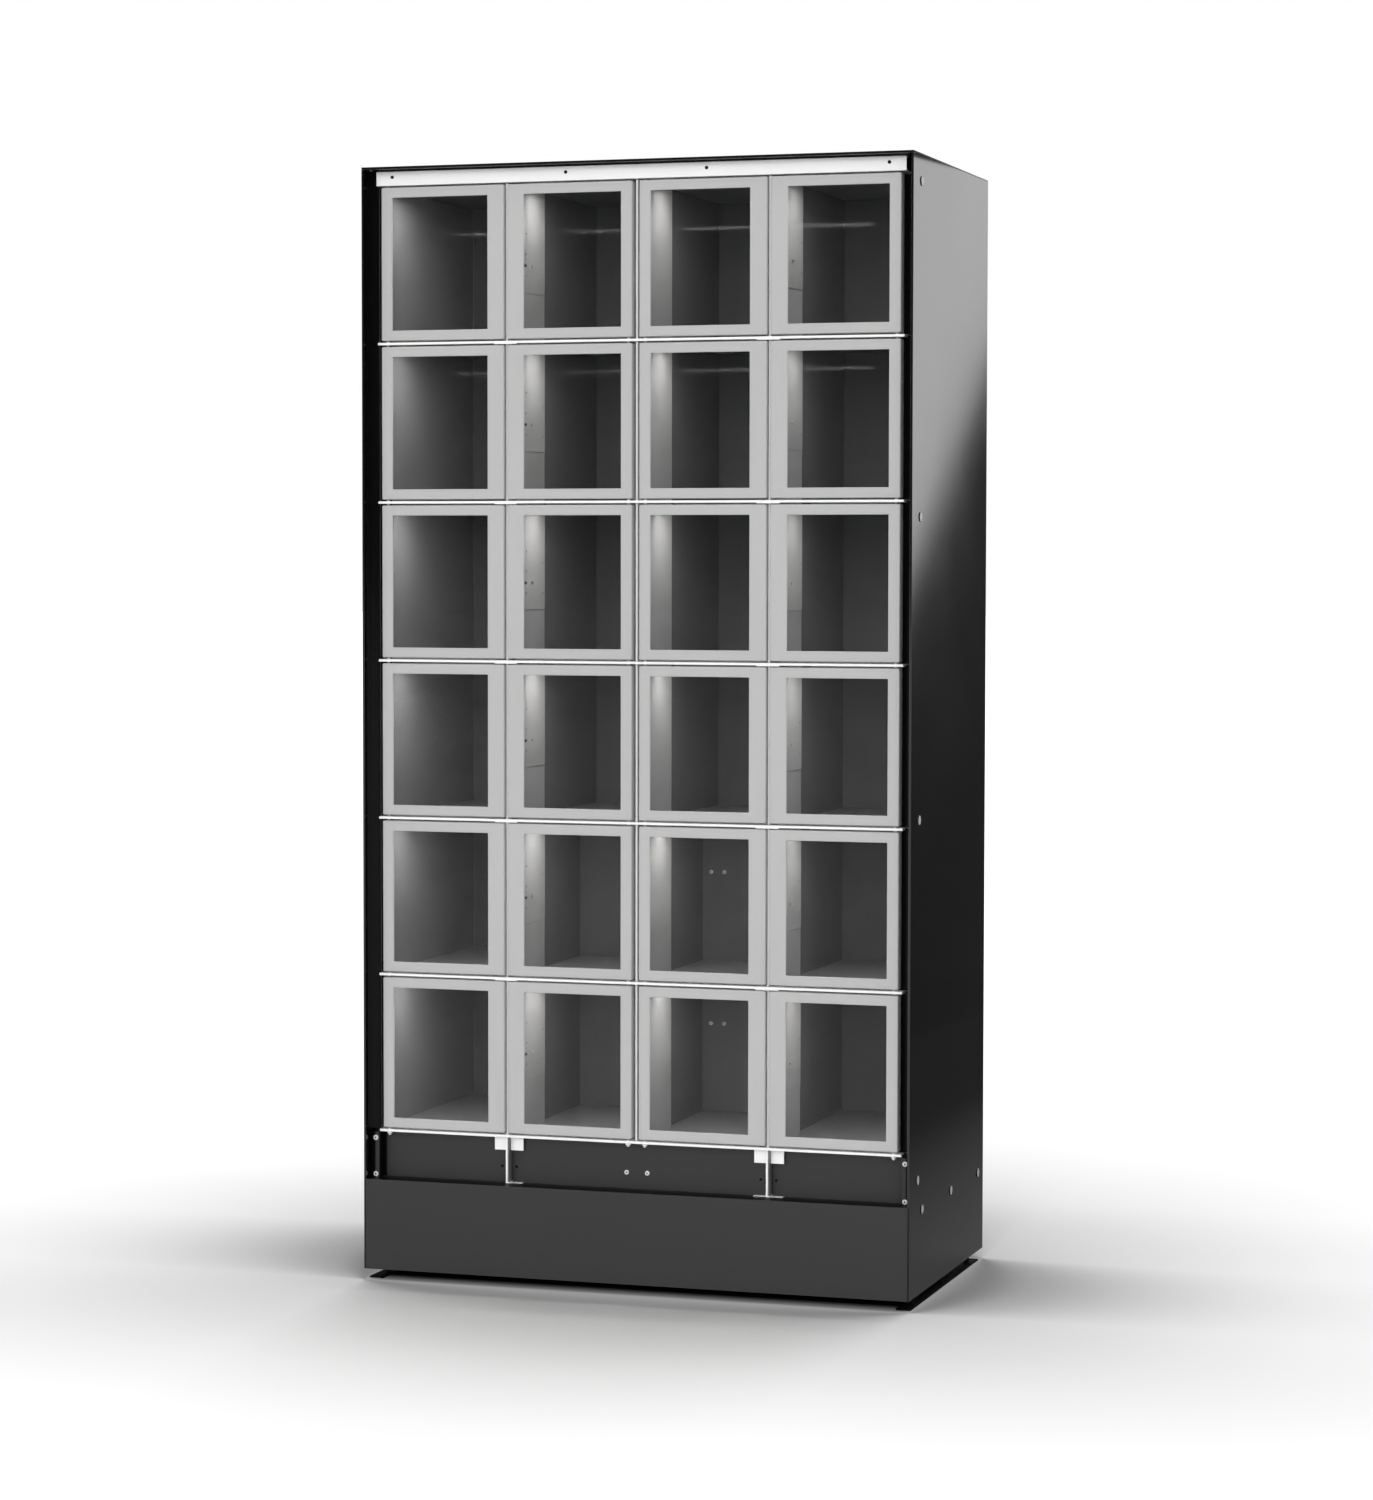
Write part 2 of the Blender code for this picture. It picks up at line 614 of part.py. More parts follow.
def door_tray(hand):
    """The folded front of a door about its pivot: front ring, side flanges and window lip."""
    near = -hand * PIVOT_INSET
    far = hand * (DOOR_WIDTH - PIVOT_INSET)
    shape = bmesh.new()
    middle = Vector(((near + far) / 2, DOOR_DEPTH / 2 - PIVOT_SETBACK, 0))
    size = Vector((DOOR_WIDTH, DOOR_DEPTH, DOOR_HEIGHT))
    bmesh.ops.create_cube(shape, size=1, matrix=Matrix.LocRotScale(middle, None, size))
    open_back = max(shape.faces, key=lambda face: face.normal.y)
    bmesh.ops.delete(shape, geom=[open_back], context="FACES_ONLY")
    window_near = hand * (HINGE_STILE - PIVOT_INSET)
    window_far = window_near + hand * WINDOW_WIDTH
    cuts = (
        ((window_near, 0, 0), (1, 0, 0)),
        ((window_far, 0, 0), (1, 0, 0)),
        ((0, 0, -WINDOW_HEIGHT / 2), (0, 0, 1)),
        ((0, 0, WINDOW_HEIGHT / 2), (0, 0, 1)),
    )
    for point, normal in cuts:
        everything = shape.verts[:] + shape.edges[:] + shape.faces[:]
        bmesh.ops.bisect_plane(shape, geom=everything, plane_co=point, plane_no=normal)
    window_middle = Vector(((window_near + window_far) / 2, -PIVOT_SETBACK, 0))
    window = min(shape.faces, key=lambda face: (face.calc_center_median() - window_middle).length)
    rim = list(window.edges)
    bmesh.ops.delete(shape, geom=[window], context="FACES_ONLY")
    lip = bmesh.ops.extrude_edge_only(shape, edges=rim)
    lip_verts = [piece for piece in lip["geom"] if isinstance(piece, bmesh.types.BMVert)]
    bmesh.ops.translate(shape, verts=lip_verts, vec=(0, LIP_DEPTH, 0))
    bmesh.ops.recalc_face_normals(shape, faces=shape.faces)
    mesh = bpy.data.meshes.new("door_tray")
    shape.to_mesh(mesh)
    shape.free()
    return mesh


def door_mesh(hand, tools, material):
    """A door leaf about its pivot, hinged on the left where hand is 1 and on the right where it is -1."""
    label = "left" if hand > 0 else "right"
    leaf = place(f"door_leaf_{label}", door_tray(hand), tools, material)
    folded = leaf.modifiers.new("sheet", "SOLIDIFY")
    folded.thickness = DOOR_SHEET
    folded.offset = -1
    folded.use_even_offset = True
    length = PIN_ROOT + DOOR_GAP + PIN_REACH
    pin_z = DOOR_HEIGHT / 2 - PIN_ROOT + length / 2
    pins = [((0, 0, end * pin_z), PIN_RADIUS, length) for end in (-1, 1)]
    join(leaf, rod_mesh(f"pins_{label}", pins, UPRIGHT, PIN_SIDES), tools)
    striker_x = hand * (DOOR_WIDTH - PIVOT_INSET - STRIKER_INSET)
    front = DOOR_SHEET / 2 - PIVOT_SETBACK
    rear = front + STRIKER_LENGTH
    half = STRIKER_THICKNESS / 2
    plate_low = (striker_x - half, front, -STRIKER_HEIGHT / 2)
    plate_high = (striker_x + half, rear, STRIKER_HEIGHT / 2)
    join(leaf, box_mesh(f"striker_{label}", ((plate_low, plate_high),)), tools)
    eye_rear = rear - STRIKER_NOSE
    eye_low = (striker_x - STRIKER_THICKNESS, eye_rear - STRIKER_EYE_LENGTH, -STRIKER_EYE_HEIGHT / 2)
    eye_high = (striker_x + STRIKER_THICKNESS, eye_rear, STRIKER_EYE_HEIGHT / 2)
    cut(leaf, box_mesh(f"striker_eye_{label}", ((eye_low, eye_high),)), tools)
    mesh = evaluated_mesh(leaf)
    mesh.name = f"door_{label}"
    smooth_round_faces(mesh)
    bpy.data.objects.remove(leaf, do_unlink=True)
    return mesh


def pane_mesh(hand, material):
    """The clear window of a door about its pivot, a sheet with clipped corners behind the lip."""
    middle_x = hand * (HINGE_STILE + WINDOW_WIDTH / 2 - PIVOT_INSET)
    front = LIP_DEPTH + CLEARANCE - PIVOT_SETBACK
    half_x = WINDOW_WIDTH / 2 + PANE_LAP
    half_z = WINDOW_HEIGHT / 2 + PANE_LAP
    low = (middle_x - half_x, front, -half_z)
    high = (middle_x + half_x, front + PANE_THICKNESS, half_z)
    mesh = box_mesh("window_pane", ((low, high),))
    shape = bmesh.new()
    shape.from_mesh(mesh)
    corners = [edge for edge in shape.edges if abs(edge.verts[0].co.y - edge.verts[1].co.y) > CLEARANCE]
    bmesh.ops.bevel(shape, geom=corners, offset=PANE_CORNER, segments=1, affect="EDGES")
    shape.to_mesh(mesh)
    shape.free()
    mesh.materials.append(material)
    return mesh


def make_doors(parts, tools, steel, clear):
    """Twenty-four doors, hinged in mirrored pairs, each under an empty on its hinge axis."""
    hands = (1, -1, 1, -1)
    leaves = {hand: door_mesh(hand, tools, steel) for hand in (1, -1)}
    panes = {hand: pane_mesh(hand, clear) for hand in (1, -1)}
    for row in range(1, ROWS + 1):
        for column, (hand, x) in enumerate(zip(hands, PIVOT_PLACES), 1):
            hinge = bpy.data.objects.new(f"hinge_r{row}_c{column}", None)
            hinge.location = (x, back(DOOR_SETBACK + PIVOT_SETBACK), door_middle(ROWS - row))
            hinge.empty_display_size = DOOR_DEPTH
            parts.objects.link(hinge)
            for kind, mesh in (("door", leaves[hand]), ("window", panes[hand])):
                item = place(f"{kind}_r{row}_c{column}", mesh, parts)
                item.parent = hinge


def main():
    clear_scene()
    parts = new_collection("windowed_locker")
    tools = new_collection("cutters")
    black = finish("black_gloss_steel", (0.012, 0.012, 0.013), 0.25, 0.2)
    charcoal = finish("charcoal_steel", (0.048, 0.048, 0.050), 0.45, 0.2)
    white = finish("white_steel", (0.86, 0.86, 0.86), 0.40)
    grey = finish("light_grey_steel", (0.53, 0.53, 0.53), 0.45)
    clear = finish("clear_polycarbonate", (0.90, 0.92, 0.93), 0.05, alpha=0.15)
    make_wrap(parts, tools, black)
    make_top_cap(parts, tools, black)
    make_plinth(parts, tools, charcoal)
    for level in range(ROWS):
        make_shelf(level, parts, tools, white)
    make_partition("partition_left", -LOCK_X, (0, FOOT_TAB_REACH), parts, tools, grey)
    make_partition("partition_centre", 0, None, parts, tools, grey)
    make_partition("partition_right", LOCK_X, (-FOOT_TAB_REACH, FOOT_TAB_REACH), parts, tools, grey)
    make_doors(parts, tools, grey, clear)


main()
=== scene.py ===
from math import pi, radians

import bmesh
import bpy
from mathutils import Matrix, Vector


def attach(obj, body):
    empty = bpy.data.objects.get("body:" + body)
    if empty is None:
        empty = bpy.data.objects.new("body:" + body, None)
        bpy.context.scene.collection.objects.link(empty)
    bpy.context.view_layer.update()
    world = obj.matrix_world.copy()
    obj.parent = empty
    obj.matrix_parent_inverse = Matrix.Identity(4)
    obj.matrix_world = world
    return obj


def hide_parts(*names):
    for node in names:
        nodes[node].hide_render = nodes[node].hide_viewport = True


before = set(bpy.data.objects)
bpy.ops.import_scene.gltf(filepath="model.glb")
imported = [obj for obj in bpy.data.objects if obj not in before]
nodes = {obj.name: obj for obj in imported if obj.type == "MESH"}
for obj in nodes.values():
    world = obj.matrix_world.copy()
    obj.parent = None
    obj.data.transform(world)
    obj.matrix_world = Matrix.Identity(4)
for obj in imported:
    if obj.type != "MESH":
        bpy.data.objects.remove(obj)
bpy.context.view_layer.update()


# Camera
# A long lens stands about seven metres off, to the right of the front and at chest height,
# and looks slightly down on the cabinet.
CAMERA_PLACE = (2.0977, -6.5411, 1.2824)
LENS = 91.75
TURNED_LEFT = 17.667
TIPPED_DOWN = 2.849
ROLLED = 0.0875
bpy.ops.object.camera_add(location=CAMERA_PLACE)
camera = bpy.context.object
camera.data.lens = LENS
camera_turn = (
    Matrix.Rotation(radians(TURNED_LEFT), 3, "Z")
    @ Matrix.Rotation(radians(90 - TIPPED_DOWN), 3, "X")
    @ Matrix.Rotation(radians(ROLLED), 3, "Z")
)
camera.rotation_euler = camera_turn.to_euler()
bpy.context.scene.camera = camera
bpy.context.scene.view_settings.view_transform = "Standard"


# Studio: the room's light
# An even white room gives the light, with a brighter screen low down in front. Its wall behind
# the cabinet is white also where metal and glass mirror it, and there its side towards the camera
# is dim, as in a studio with the lamps flagged.
def node(tree, kind, inputs=None, output=0, **settings):
    """Adds a node, sets or links its inputs, and gives back one of its outputs."""
    made = tree.nodes.new(kind)
    for key, value in settings.items():
        setattr(made, key, value)
    for key, value in (inputs or {}).items():
        if isinstance(value, bpy.types.NodeSocket):
            tree.links.new(value, made.inputs[key])
        else:
            made.inputs[key].default_value = value
    return made.outputs[output]


def maths(tree, operation, *values):
    """One number worked out from others."""
    return node(tree, "ShaderNodeMath", dict(enumerate(values)), operation=operation)


def ramp(tree, value, low, high, start=0.0, end=1.0):
    """A smooth step from start to end while the value goes from low to high."""
    inputs = {"Value": value, "From Min": low, "From Max": high, "To Min": start, "To Max": end}
    return node(tree, "ShaderNodeMapRange", inputs, interpolation_type="SMOOTHSTEP")


def mixed(tree, share, first, second):
    """A colour between two others."""
    return node(tree, "ShaderNodeMix", {0: share, 6: first, 7: second}, output=2, data_type="RGBA")


def coordinate(tree, place, axis):
    """One of the three numbers of a place."""
    return node(tree, "ShaderNodeSeparateXYZ", {"Vector": place}, output=axis)


WALL_MIRRORED = 1.4
FRONT_MIRRORED = 0.08
FRONT_SCREEN = 3.0
LIGHT_BELOW = 0.46
LIGHT_ABOVE = 0.54
room = bpy.data.worlds.new("studio_room")
bpy.context.scene.world = room
room.use_nodes = True
room.cycles.sampling_method = "NONE"
tree = room.node_tree
towards = node(tree, "ShaderNodeTexCoord", output="Generated")
sides = coordinate(tree, towards, "Y")
height = coordinate(tree, towards, "Z")
mirrored = ramp(tree, sides, -0.15, 0.35, FRONT_MIRRORED, WALL_MIRRORED)
front = ramp(tree, maths(tree, "MULTIPLY", sides, -1.0), 0.35, 0.9, 0.0, FRONT_SCREEN)
front = maths(tree, "MULTIPLY", front, ramp(tree, height, 0.25, 0.65, 1.0, 0.0))
even = maths(tree, "ADD", ramp(tree, height, -0.6, 0.8, LIGHT_BELOW, LIGHT_ABOVE), front)
by_mirror = maths(
    tree,
    "MAXIMUM",
    node(tree, "ShaderNodeLightPath", output="Is Glossy Ray"),
    node(tree, "ShaderNodeLightPath", output="Is Transmission Ray"),
)
seen = maths(
    tree,
    "ADD",
    maths(tree, "MULTIPLY", by_mirror, mirrored),
    maths(tree, "MULTIPLY", maths(tree, "SUBTRACT", 1.0, by_mirror), even),
)
by_eye = node(tree, "ShaderNodeLightPath", output="Is Camera Ray")
strength = maths(
    tree,
    "ADD",
    by_eye,
    maths(tree, "MULTIPLY", maths(tree, "SUBTRACT", 1.0, by_eye), seen),
)
tree.links.new(strength, tree.nodes["Background"].inputs["Strength"])
tree.nodes["Background"].inputs["Color"].default_value = (1, 1, 1, 1)


# Studio: the floor
# Pale matt paper with a glow that the camera and reflections see. The glow is painted weaker
# where the cabinet hides more of the room, a painted soft shadow, and grows to white further
# off, so that it runs into the white behind. Under the cabinet the paper is painted nearly black:
# painted shadow.
HALF_WIDTH = 0.5
HALF_DEPTH = 0.273
bpy.ops.mesh.primitive_plane_add(size=160, location=(0, 0, 0))
floor = bpy.context.object
floor.name = "studio_floor"
paper = bpy.data.materials.new("pale_paper")
paper.use_nodes = True
tree = paper.node_tree
shader = tree.nodes["Principled BSDF"]
shader.inputs["Roughness"].default_value = 0.9
shader.inputs["Specular IOR Level"].default_value = 0.0
spot = node(tree, "ShaderNodeTexCoord", output="Object")
fibre = node(tree, "ShaderNodeTexNoise", {"Vector": spot, "Scale": 60.0, "Detail": 3.0})
lit = mixed(tree, fibre, (0.49, 0.49, 0.49, 1), (0.51, 0.51, 0.51, 1))

# How deep a spot lies under the cabinet, and how far it lies off it.
from_middle = node(tree, "ShaderNodeVectorMath", {0: spot}, operation="ABSOLUTE")
inputs = {0: (HALF_WIDTH, HALF_DEPTH, 1), 1: from_middle}
beneath = node(tree, "ShaderNodeVectorMath", inputs, operation="SUBTRACT")
depth_x = coordinate(tree, beneath, "X")
depth_y = coordinate(tree, beneath, "Y")
depth = maths(tree, "MINIMUM", maths(tree, "MULTIPLY", depth_x, 3.0), depth_y)
# Painted shadow: a little way in under the cabinet the paper turns nearly black.
painted_shadow_under = mixed(tree, ramp(tree, depth, 0.020, 0.066), lit, (0.01, 0.01, 0.01, 1))
tree.links.new(painted_shadow_under, shader.inputs["Base Color"])
off_x = maths(tree, "MAXIMUM", maths(tree, "MULTIPLY", depth_x, -1.0), 0.0001)
off_y = maths(tree, "MAXIMUM", maths(tree, "MULTIPLY", depth_y, -1.0), 0.0001)


def hidden(reach, off, span):
    """The angle that one side of the cabinet fills, seen from a point of the floor."""
    far = maths(tree, "ARCTAN2", maths(tree, "SUBTRACT", span, reach), off)
    return maths(tree, "ADD", maths(tree, "ARCTAN2", reach, off), far)


# How open the room is above a spot, from 0 right beside the cabinet to 1 far away.
behind_side = hidden(depth_y, off_x, 2 * HALF_DEPTH)
behind_front = hidden(depth_x, off_y, 2 * HALF_WIDTH)
filled = maths(tree, "ADD", behind_side, behind_front)
openness = maths(tree, "MAXIMUM", maths(tree, "MULTIPLY_ADD", filled, -1 / pi, 1.0), 0.0)

# The glow follows that along a cubic curve, which is mended close to the cabinet: a painted
# shadow, weaker where less of the room is open.
curve = -1.729
for term in (3.959, -1.610, 0.235):
    curve = maths(tree, "MULTIPLY_ADD", openness, curve, term)
squared = maths(tree, "MULTIPLY_ADD", off_x, off_x, maths(tree, "MULTIPLY", off_y, off_y))
distance = maths(tree, "SQRT", squared)
curve = maths(tree, "ADD", curve, ramp(tree, distance, 0.0, 0.45, 0.06, 0.0))
curve = maths(tree, "SUBTRACT", curve, ramp(tree, openness, 0.05, 0.33, 0.18, 0.0))

# It leans a little from the front to the back, painted light as well, and stops under the
# cabinet, which leaves painted shadow there.
along = coordinate(tree, spot, "Y")
along = maths(tree, "MAXIMUM", maths(tree, "MINIMUM", along, 0.9), -1.3)
slant = maths(tree, "MULTIPLY", along, maths(tree, "MULTIPLY_ADD", along, 0.103, 0.049))
uncovered = ramp(tree, maths(tree, "MINIMUM", depth_x, depth_y), 0.0, 0.02, 1.0, 0.0)
painted_shadow_glow = maths(tree, "MULTIPLY", maths(tree, "ADD", curve, slant), uncovered)
paths = [
    node(tree, "ShaderNodeLightPath", output=f"Is {ray} Ray")
    for ray in ("Camera", "Glossy", "Transmission")
]
shown = maths(tree, "MAXIMUM", maths(tree, "MAXIMUM", paths[0], paths[1]), paths[2])
shader.inputs["Emission Color"].default_value = (1, 1, 1, 1)
tree.links.new(maths(tree, "MULTIPLY", shown, painted_shadow_glow), shader.inputs["Emission Strength"])
floor.data.materials.append(paper)


# Studio: black cards
# Two black cards stand and lie to the right, where only mirroring paint sees them: they give
# the right side panel its slanting dark reflection. Three more behind keep the top panel black.
# The two on the right are painted lighter close to the cabinet: a painted reflection.
REFLECTION_GREY_BESIDE = 0.73
NO_REFLECTION_GREY = -3.0
REFLECTION_GREY_PER_METRE = -0.66
DARKEST_CARD_GREY = 0.065


def black_card(name, corners, reflection_beside):
    """A card that only reflections show, which may be painted lighter beside the cabinet: painted
    reflection.
    """
    bpy.ops.mesh.primitive_plane_add(size=1)
    card = bpy.context.object
    card.name = name
    for corner, vertex in zip(corners, (card.data.vertices[i] for i in (0, 1, 3, 2))):
        vertex.co = corner
    card.visible_camera = False
    card.visible_diffuse = False
    card.visible_transmission = False
    card.visible_volume_scatter = False
    card.visible_shadow = False
    felt = bpy.data.materials.new(name + "_felt")
    felt.use_nodes = True
    felt_tree = felt.node_tree
    felt_shader = felt_tree.nodes["Principled BSDF"]
    spot = node(felt_tree, "ShaderNodeTexCoord", output="Object")
    across = coordinate(felt_tree, spot, "X")
    # Painted reflection: the card's grey falls off across it, away from the cabinet.
    painted_reflection = maths(felt_tree, "MULTIPLY_ADD", across, REFLECTION_GREY_PER_METRE, reflection_beside)
    card_grey = maths(felt_tree, "MAXIMUM", DARKEST_CARD_GREY, painted_reflection)
    grey = node(felt_tree, "ShaderNodeCombineColor", {0: card_grey, 1: card_grey, 2: card_grey})
    felt_tree.links.new(grey, felt_shader.inputs["Base Color"])
    felt_shader.inputs["Roughness"].default_value = 1.0
    felt_shader.inputs["Specular IOR Level"].default_value = 0.0
    card.data.materials.append(felt)


black_card(
    "studio_floor_card",
    ((0.505, -0.4, 0.004), (1.5, -0.4, 0.004), (1.5, 5.0, 0.004), (0.505, 5.0, 0.004)),
    REFLECTION_GREY_BESIDE,
)
black_card(
    "studio_wall_card",
    ((1.4, 1.6, -0.2), (1.4, 7.0, -0.2), (1.4, 7.0, 3.82), (1.4, 1.6, 0.131)),
    REFLECTION_GREY_BESIDE,
)
CARD_Y = 0.30
CARD_TOP = 5.0
CARD_LOW = 1.975
for name, (left_x, left_low), (right_x, right_low) in (
    ("studio_top_card", (-3.0, CARD_LOW), (0.49, CARD_LOW)),
    ("studio_top_card_wedge", (0.49, CARD_LOW), (0.75, 2.05)),
    ("studio_top_card_right", (0.75, CARD_LOW), (3.0, CARD_LOW)),
):
    card_corners = (
        (left_x, CARD_Y, left_low),
        (right_x, CARD_Y, right_low),
        (right_x, CARD_Y, CARD_TOP),
        (left_x, CARD_Y, CARD_TOP),
    )
    black_card(name, card_corners, NO_REFLECTION_GREY)


# Cabinet wrap
# Side and back panels of sheet steel, folded with the jambs and the inner liner. Outside they
# wear a black gloss powder coat, and inside the liner is dark grey with a smooth satin face. Its
# side walls are painted a lighter grey than its back: painted light.
def edge_mask(tree, radius):
    """How near a bend a point lies, from 0 on the flat to 1 on the edge, and the rounded normal."""
    rounded = node(tree, "ShaderNodeBevel", {"Radius": radius}, samples=4)
    flat = node(tree, "ShaderNodeNewGeometry", output="True Normal")
    inputs = {0: rounded, 1: flat}
    alike = node(tree, "ShaderNodeVectorMath", inputs, output="Value", operation="DOT_PRODUCT")
    return ramp(tree, alike, 0.995, 0.80), rounded


def powder_coat(name, colour, rubbed, roughness=None, grain=0.02, cloud=0.06, radius=0.0012):
    """Baked paint: faint clouds in its tone, orange peel in its face and rubbed bends.

    The colour is plain and has its roughness, or it is a function that works out both.
    """
    paint = bpy.data.materials.new(name)
    paint.use_nodes = True
    tree = paint.node_tree
    place = node(tree, "ShaderNodeTexCoord", output="Object")
    clouds = node(tree, "ShaderNodeTexNoise", {"Vector": place, "Scale": 2.6, "Detail": 4.0})
    specks = node(tree, "ShaderNodeTexNoise", {"Vector": place, "Scale": 420.0, "Detail": 2.0})
    peel = node(tree, "ShaderNodeTexNoise", {"Vector": place, "Scale": 700.0, "Detail": 2.0})
    if callable(colour):
        body, satin = colour(tree, place)
    else:
        body, satin = (*colour, 1), roughness
    darker = mixed(tree, 1 - cloud, (0, 0, 0, 1), body)
    tone = mixed(tree, ramp(tree, clouds, 0.35, 0.65), darker, body)
    tone = mixed(tree, ramp(tree, specks, 0.60, 0.75, 0.0, cloud), tone, (*rubbed, 1))
    edge, rounded = edge_mask(tree, radius)
    worn = maths(tree, "MULTIPLY", edge, ramp(tree, clouds, 0.30, 0.70, 0.15, 0.75))
    tone = mixed(tree, worn, tone, (*rubbed, 1))
    shader = tree.nodes["Principled BSDF"]
    tree.links.new(tone, shader.inputs["Base Color"])
    patch = ramp(tree, clouds, 0.3, 0.7, -0.012, 0.012)
    tree.links.new(maths(tree, "ADD", satin, patch), shader.inputs["Roughness"])
    bump = {"Height": peel, "Strength": grain, "Distance": 0.0003, "Normal": rounded}
    tree.links.new(node(tree, "ShaderNodeBump", bump), shader.inputs["Normal"])
    return paint


def dress(cad_node, paint):
    """Gives a CAD node its paint."""
    piece = nodes[cad_node]
    piece.data.materials.clear()
    piece.data.materials.append(paint)


BLACK = (0.0060, 0.0060, 0.0064)
LINER_GREY = (0.136, 0.136, 0.139)
LINER_SIDE_PAINTED_LIGHT = (0.235, 0.235, 0.239)
ZINC = (0.58, 0.58, 0.575)
LINER_X = 0.4845
LINER_BACK_Y = 0.237
BOLT_FACE_X = 0.5013


def wrap_colour(tree, place):
    """Black outside, grey on the liner, zinc on the bolt heads that stand proud of the panels.
    The side walls of the liner are a lighter grey: painted light.
    """
    x = coordinate(tree, place, "X")
    y = coordinate(tree, place, "Y")
    off_side = maths(tree, "ABSOLUTE", x)
    within = maths(tree, "LESS_THAN", off_side, LINER_X + 0.0002)
    ahead = maths(tree, "LESS_THAN", y, LINER_BACK_Y + 0.0002)
    inside = maths(tree, "MULTIPLY", within, ahead)
    proud = maths(tree, "GREATER_THAN", off_side, BOLT_FACE_X)
    # The liner's side walls get the lighter grey: painted light.
    upright = maths(tree, "GREATER_THAN", off_side, LINER_X - 0.0010)
    liner = mixed(tree, upright, (*LINER_GREY, 1), (*LINER_SIDE_PAINTED_LIGHT, 1))
    body = mixed(tree, inside, (*BLACK, 1), liner)
    body = mixed(tree, proud, body, (*ZINC, 1))
    satin = maths(tree, "ADD", 0.085, maths(tree, "MULTIPLY", proud, 0.20))
    satin = maths(tree, "ADD", satin, maths(tree, "MULTIPLY", inside, -0.025))
    shader = tree.nodes["Principled BSDF"]
    tree.links.new(ramp(tree, inside, 0.0, 1.0, 0.5, 0.24), shader.inputs["Specular IOR Level"])
    return body, satin


wrap_rubbed = (0.018, 0.018, 0.019)
wrap_paint = powder_coat(
    "black_shell_and_grey_liner", wrap_colour, wrap_rubbed, grain=0.004, radius=0.0008
)
dress("cabinet_wrap", wrap_paint)


# Top cap
# Top panel of black gloss sheet with a folded front hem. The white header rail and the grey
# ceiling of the upper compartments hang from it as one folded sheet.
WHITE = (0.94, 0.94, 0.94)
HEADER_TOP = 1.9636
HEADER_REAR_Y = -0.2278


def cap_colour(tree, place):
    """Black on the panel, white on the header rail, grey on the ceiling behind it."""
    y = coordinate(tree, place, "Y")
    z = coordinate(tree, place, "Z")
    below = maths(tree, "LESS_THAN", z, HEADER_TOP + 0.0003)
    rear = maths(tree, "GREATER_THAN", y, HEADER_REAR_Y)
    hung = mixed(tree, rear, (*WHITE, 1), (*LINER_GREY, 1))
    body = mixed(tree, below, (*BLACK, 1), hung)
    satin = maths(tree, "ADD", 0.12, maths(tree, "MULTIPLY", below, 0.20))
    return body, satin


cap_rubbed = (0.10, 0.10, 0.10)
cap_paint = powder_coat(
    "black_cap_and_white_header", cap_colour, cap_rubbed, grain=0.004, cloud=0.03
)
dress("top_cap", cap_paint)


# Plinth
# Kick panel, ledge and recess panels of charcoal sheet, welded to the floor pan. The round
# levelling feet under the pan are black rubber on zinc stems. The front of the ledge is painted
# black: painted shadow.
CHARCOAL = (0.040, 0.040, 0.041)
SHADOW_RUBBER_AND_SEAM_BLACK = (0.008, 0.008, 0.008)
FOOT_TOP = 0.0196
LEDGE_Z = 0.181
LEDGE_MIDDLE_Y = -0.258
LEDGE_HALF = 0.0145
SEAM_X = 0.4970


def tone_down(paint, level):
    """Makes the face of a paint mirror less."""
    paint.node_tree.nodes["Principled BSDF"].inputs["Specular IOR Level"].default_value = level


def plinth_colour(tree, place):
    """Charcoal sheets; black on the feet, in the side seams and on the ledge, there as painted
    shadow.
    """
    z = coordinate(tree, place, "Z")
    foot = maths(tree, "LESS_THAN", z, FOOT_TOP)
    y = coordinate(tree, place, "Y")
    # The front of the ledge, in the step behind the kick panel, is painted black: painted shadow.
    risen = maths(tree, "COMPARE", z, LEDGE_Z, 0.0006)
    ledge_painted_shadow = maths(tree, "MULTIPLY", risen, maths(tree, "COMPARE", y, LEDGE_MIDDLE_Y, LEDGE_HALF))
    off_side = maths(tree, "ABSOLUTE", coordinate(tree, place, "X"))
    seam = maths(tree, "GREATER_THAN", off_side, SEAM_X)
    dark = maths(tree, "MAXIMUM", maths(tree, "MAXIMUM", foot, ledge_painted_shadow), seam)
    body = mixed(tree, dark, (*CHARCOAL, 1), (*SHADOW_RUBBER_AND_SEAM_BLACK, 1))
    satin = maths(tree, "ADD", 0.42, maths(tree, "MULTIPLY", foot, 0.25))
    return body, satin


plinth_paint = powder_coat("charcoal_plinth", plinth_colour, (0.085, 0.085, 0.087), cloud=0.05)
tone_down(plinth_paint, 0.25)
dress("plinth", plinth_paint)


# Feet
# Four levelling feet are screwed into the floor pan. A hexagon lock nut of zinc-plated steel on
# each stem is tightened up against the pan and holds the height.
def start():
    """Leaves nothing selected, so that the next operator acts on its own piece alone."""
    bpy.ops.object.select_all(action="DESELECT")


def pick(piece, *others):
    """Selects the piece, and others to go with it, for the next operator."""
    start()
    for part in (piece, *others):
        part.select_set(True)
    bpy.context.view_layer.objects.active = piece


def choose(piece, kind, test):
    """Selects the faces or edges whose middle and normal or direction pass, in edit mode."""
    bpy.ops.mesh.select_mode(type=kind)
    shape = bmesh.from_edit_mesh(piece.data)
    for vertex in shape.verts:
        vertex.select = False
    shape.select_flush(False)
    if kind == "FACE":
        for face in shape.faces:
            face.select_set(bool(test(face.calc_center_median(), face.normal)))
    else:
        for edge in shape.edges:
            ends = [vertex.co for vertex in edge.verts]
            along = (ends[1] - ends[0]).normalized()
            edge.select_set(bool(test((ends[0] + ends[1]) / 2, along)))
    bmesh.update_edit_mesh(piece.data)


def edit(piece):
    """Opens the piece for modelling."""
    pick(piece)
    bpy.ops.object.mode_set(mode="EDIT")


